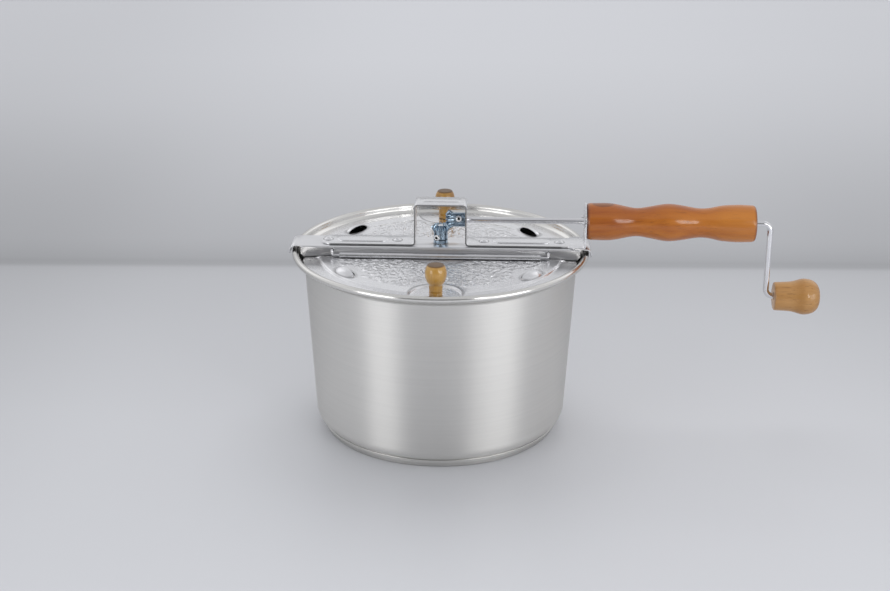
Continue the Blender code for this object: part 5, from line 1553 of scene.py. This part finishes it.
HUB_GROOVE_SHADE_Z = FOOT_BOTTOM + 0.0030
FINISHES["driven_zinc"] = crystal_metal("driven_zinc", *ZINC_LOOK, groove=HUB_GROOVE_SHADE_Z)
tooth_turn = Matrix.Rotation(-math.pi / 2, 4, "Y") @ Matrix.Rotation(math.pi / TEETH, 4, "Z")
drive_bore_end = Vector((DRIVE_HUB_END + 0.002, 0, ROD_Z))
driven_bore_end = Vector((0, 0, FOOT_BOTTOM - 0.002))
gears = (
    ("drive", "crank", "zinc_plate", DRIVE_HUB_END, tooth_turn, drive_bore_end, drive_pin),
    ("driven", "stirrer", "driven_zinc", DRIVEN_HUB_END, Matrix(), driven_bore_end, driven_pin),
)
for name, body, metal, hub_end, turn, bore_end, pin_place in gears:
    mesh = gear(hub_end, Matrix.Translation(APEX) @ turn, bore_end, pin_place)
    fit(f"{name}_miter_gear", mesh, body, "zinc_plate", f"{name}_gear", finish=metal)
    centre, direction = pin_place
    turn_pin = direction.to_track_quat("Z", "Y").to_matrix().to_4x4()
    pin = lathe(pin_profile(), 32, Matrix.Translation(centre) @ turn_pin)
    FINISHES[f"{name}_pin"] = steel(
        f"{name}_pin", PIN_TINT, 0.22, FINE_SPECKS, 5.0e-7, 0.04, painted_shade=bore_painted_shade(centre, direction)
    )
    fit(f"{name}_hub_rivet", pin, body, "bright_wire", f"{name}_gear_pin", finish=f"{name}_pin")

# %% [markdown]
# ## The stirrer
# The driven gear sits on a shaft that runs down through a nylon bush to the pot's floor.
# A spring clip under the bush keeps it in, and a swept wire through its foot moves the corn.

# %% Bush and shaft
SHAFT_RADIUS = 0.0030
SHAFT_BOTTOM = POT_UNDERSIDE + POT_SHEET + 0.0008
SHAFT_FOOT = 0.0050
FOOT_HEIGHT = 0.0120
BUSH_FLANGE_TOP = BRIDGE_TOP - BRIDGE_SHEET - GAP
CLIP_TOP = BUSH_FLANGE_TOP - 0.0010 - GAP
CLIP_SHEET = 0.0008
EDGE_BREAK = 0.0002
bush_bore = SHAFT_RADIUS + GAP
flange = BUSH_RADIUS + 0.0023
flange_foot = BUSH_FLANGE_TOP - 0.0010
BUSH_PROFILE = [
    (BUSH_RADIUS - EDGE_BREAK, BRIDGE_TOP), (BUSH_RADIUS, BRIDGE_TOP - EDGE_BREAK),
    (BUSH_RADIUS, BUSH_FLANGE_TOP), (flange - EDGE_BREAK, BUSH_FLANGE_TOP),
    (flange, BUSH_FLANGE_TOP - EDGE_BREAK), (flange, flange_foot + EDGE_BREAK),
    (flange - EDGE_BREAK, flange_foot), (bush_bore, flange_foot), (bush_bore, BRIDGE_TOP),
]
fit("nylon_bush", lathe(BUSH_PROFILE, 48, ring=True), "lid_frame", "nylon", "shaft_bush")

shoulder = FOOT_BOTTOM - GAP
shaft_top = ROD_Z - ROD_START
groove = SHAFT_RADIUS - 0.0007
groove_top = CLIP_TOP + GAP / 2
groove_foot = CLIP_TOP - CLIP_SHEET - GAP
foot_top = SHAFT_BOTTOM + FOOT_HEIGHT
SHAFT_PROFILE = [
    (0, shaft_top), (ROD_RADIUS - 0.0004, shaft_top), (ROD_RADIUS, shaft_top - 0.0004),
    (ROD_RADIUS, shoulder), (SHAFT_RADIUS - EDGE_BREAK, shoulder), (SHAFT_RADIUS, shoulder - EDGE_BREAK),
    (SHAFT_RADIUS, groove_top), (groove, groove_top), (groove, groove_foot), (SHAFT_RADIUS, groove_foot),
    (SHAFT_RADIUS, foot_top + SHAFT_FOOT - SHAFT_RADIUS), (SHAFT_FOOT - EDGE_BREAK, foot_top + 0.0003),
    (SHAFT_FOOT, foot_top - EDGE_BREAK), (SHAFT_FOOT, SHAFT_BOTTOM + 0.0015),
    (SHAFT_FOOT * 0.92, SHAFT_BOTTOM + 0.0006), (SHAFT_FOOT * 0.6, SHAFT_BOTTOM), (0, SHAFT_BOTTOM),
]
fit("stirrer_spindle", lathe(SHAFT_PROFILE, 48), "stirrer", "bright_wire", "stirrer_shaft")

# %% Spring clip and stirring wire
CLIP_OPENING = 30
clip_outline = arc(0, 0, SHAFT_RADIUS + 0.0025, CLIP_OPENING, 360 - CLIP_OPENING, 48)
clip_outline += arc(0, 0, SHAFT_RADIUS - 0.0004, 360 - CLIP_OPENING, CLIP_OPENING, 40)
bm = bmesh.new()
loft(bm, [[(x, y, z) for x, y in clip_outline] for z in (CLIP_TOP - CLIP_SHEET, CLIP_TOP)])
bmesh.ops.recalc_face_normals(bm, faces=bm.faces)
fit("spring_clip", shaped(to_mesh(bm), bevel(EDGE_BREAK / 2)), "stirrer", "bright_wire", "shaft_clip")

STIR_RADIUS = 0.0016
STIR_Z = SHAFT_BOTTOM + 0.0052
STIR_REACH = CORNER_R - 0.0023
STIR_SWEEP = math.radians(65)
STIR_UPTURN = 0.0140
straight = SHAFT_FOOT + 0.004
arm = [Vector((straight, 0, STIR_Z))]
for i in range(1, 25):
    share = i / 24
    reach = straight + (STIR_REACH - straight) * share
    angle = STIR_SWEEP * share**1.6
    arm.append(Vector((reach * math.cos(angle), reach * math.sin(angle), STIR_Z)))
end = arm.pop()
arm += rounded_path([arm[-1], end, end + Vector((0, 0, STIR_UPTURN))], STIR_RADIUS * 1.2, 8)[1:]
other = [Vector((-p.x, -p.y, p.z)) for p in arm[::-1]]
stir_wire = bent_wire(other + arm, STIR_RADIUS, 20, "bright_wire")
fit("stirring_wire", stir_wire, "stirrer", "bright_wire", "stir_wire")

# %% [markdown]
# ## The stage
# The photograph stands the popper on a pale sheet whose far edge shows as a soft grey line,
# with a slightly darker backdrop beyond it. A wall there would hide the popper from behind,
# so the line and the backdrop's tones are painted on one wide floor instead, as a colour ramp
# over the distance from the front. The line slants a little, and both sides of the sheet are dimmer.

# %% Floor
FLOOR_HALF = 6.0
SHEET_EDGE = 0.3995
EDGE_SLANT = 0.0295
floor_mesh = bpy.data.meshes.new("floor")
floor_corners = [(x * FLOOR_HALF, y * FLOOR_HALF, 0) for x, y in ((-1, -1), (1, -1), (1, 1), (-1, 1))]
floor_mesh.from_pydata(floor_corners, [], [(0, 1, 2, 3)])
floor = placed("floor", floor_mesh)

paper = Finish("pale_paper")
across, depth_y, _ = paper.axes(paper.place())
FLOOR_START = -0.6
FLOOR_END = 2.4
PAPER_TINT = (1.0, 1.014, 1.06)
# Besides the sheet's own tone, the ramp paints light and shade: a brighter pool of light in front of the
# popper, a dark shadow line at the sheet's far edge, and beyond it a backdrop whose painted light grows with
# distance.
FLOOR_TONES = [
    (-0.60, 0.74), (-0.44, 0.715), (-0.30, 0.590), (0.0, 0.572), (0.20, 0.525), (0.30, 0.494),
    (0.349, 0.477), (0.375, 0.460), (0.389, 0.432), (0.396, 0.340), (SHEET_EDGE, 0.285), (0.403, 0.308),
    (0.414, 0.346), (0.430, 0.362), (0.449, 0.382), (0.485, 0.408), (0.60, 0.440), (0.78, 0.495),
    (1.106, 0.590), (1.463, 0.69), (1.935, 0.785), (2.4, 0.82),
]


def floor_share(distance):
    """Where a distance along Y falls on the painted stretch, from 0 to 1; a number or a Link."""
    return (distance - FLOOR_START) / (FLOOR_END - FLOOR_START)


stops = [(floor_share(y), [grey * t for t in PAPER_TINT]) for y, grey in FLOOR_TONES]
tone = paper.ramp(floor_share(depth_y - across * EDGE_SLANT), stops)
# Painted shade: both sides of the floor are dimmed, more so far off.
near_side_shade = paper.smooth(-across, 0.28, 0.50, 0.0, 0.09) + paper.smooth(across, 0.30, 0.50, 0.0, 0.06)
near_side_shade = near_side_shade * paper.smooth(depth_y, 0.60, 1.20, 1.0, 0.0)
far_side_shade = paper.smooth(-across, 0.12, 0.75, 0.0, 0.12) + paper.smooth(across, 0.25, 0.85, 0.0, 0.04)
tone = paper.mix(near_side_shade + far_side_shade, tone, BLACK)
fibre = paper.noise(paper.place(), scale=260.0, detail=2.0)
floor_mesh.materials.append(
    paper.wear(Base_Color=tone, Roughness=0.38 + fibre * 0.06, Normal=paper.bump(fibre, 2e-5))
)

# %% [markdown]
# ## Light
# Two wide soft boxes stand to the left and right of the camera: a satin cylinder shows each
# as one upright band, at half the angle between the light and the eye. A narrow third one adds
# a glint beside the right band. The boxes in front and overhead only shade the floor and the wood,
# so polished edges don't burn out in them.
# The world fills the rest as a white room does, with brighter walls beyond the popper on both sides,
# but it is dark behind the camera: polished metal needs something dark to reflect.

# %% The room
world = bpy.data.worlds.new("white_room")
SCENE.world = world
world.use_nodes = True
room = Tree(world.node_tree)
sideways, away, up = room.axes(room.add("ShaderNodeTexCoord", output="Generated"))
WORLD_STOPS = [
    (0.0, (0.42, 0.425, 0.44)), (0.50, (0.50, 0.505, 0.52)), (0.68, (0.64, 0.645, 0.66)),
    (0.82, (0.60, 0.605, 0.62)), (0.93, (0.50, 0.505, 0.52)),
]
ROOM_STRENGTH = 1.2
WALL_WHITE = (0.93, 0.93, 0.95, 1)
BEHIND_GREY = (0.14, 0.14, 0.145, 1)
sky = room.ramp(up * 0.5 + 0.5, WORLD_STOPS)
walls = room.smooth(abs(sideways), 0.20, 0.50) * room.smooth(away, 0.34, 0.56)
walls = walls * room.band(up, 0.26, 0.44, 0.75, 0.92)
behind = room.smooth(-away, 0.60, 0.84) * room.band(up, -0.02, 0.06, 0.58, 0.90)
sky = room.mix(behind, room.mix(walls, sky, WALL_WHITE), BEHIND_GREY)
background = room.nodes.nodes["Background"]
room.join(background.inputs["Color"], sky)
background.inputs["Strength"].default_value = ROOM_STRENGTH

# %% Soft boxes
def soft_box(name, azimuth, elevation, distance, size, radiance, mirrored=True):
    """A rectangular lamp that faces the pot; azimuth turns right from the camera's side, in degrees."""
    azimuth = math.radians(azimuth)
    elevation = math.radians(elevation)
    away = Vector((math.sin(azimuth), -math.cos(azimuth), 0)) * math.cos(elevation)
    away.z = math.sin(elevation)
    light = bpy.data.lights.new(name, "AREA")
    light.shape = "RECTANGLE"
    light.size, light.size_y = size
    light.energy = math.pi * size[0] * size[1] * radiance
    lamp = placed(name, light)
    lamp.location = Vector(POT_MIDDLE) + away * distance
    lamp.rotation_euler = away.to_track_quat("Z", "Y").to_euler()
    lamp.visible_glossy = mirrored
    print(f"{name}: {size[0]} by {size[1]} m, {light.energy:.1f} W")


POT_MIDDLE = (0, 0, 0.08)
soft_box("left_box", -45, 11, 1.7, (0.83, 0.70), 2.45)
soft_box("right_box", 54, 11, 1.7, (0.90, 0.70), 2.4)
soft_box("glint_box", 33, 22, 1.8, (0.26, 0.65), 5.0)
soft_box("front_fill", 6, 20, 1.8, (1.3, 0.9), 1.5, mirrored=False)
soft_box("top_box", 180, 64, 1.8, (1.3, 1.3), 1.9, mirrored=False)

SCENE.view_settings.view_transform = "Standard"
SCENE.view_settings.look = "None"
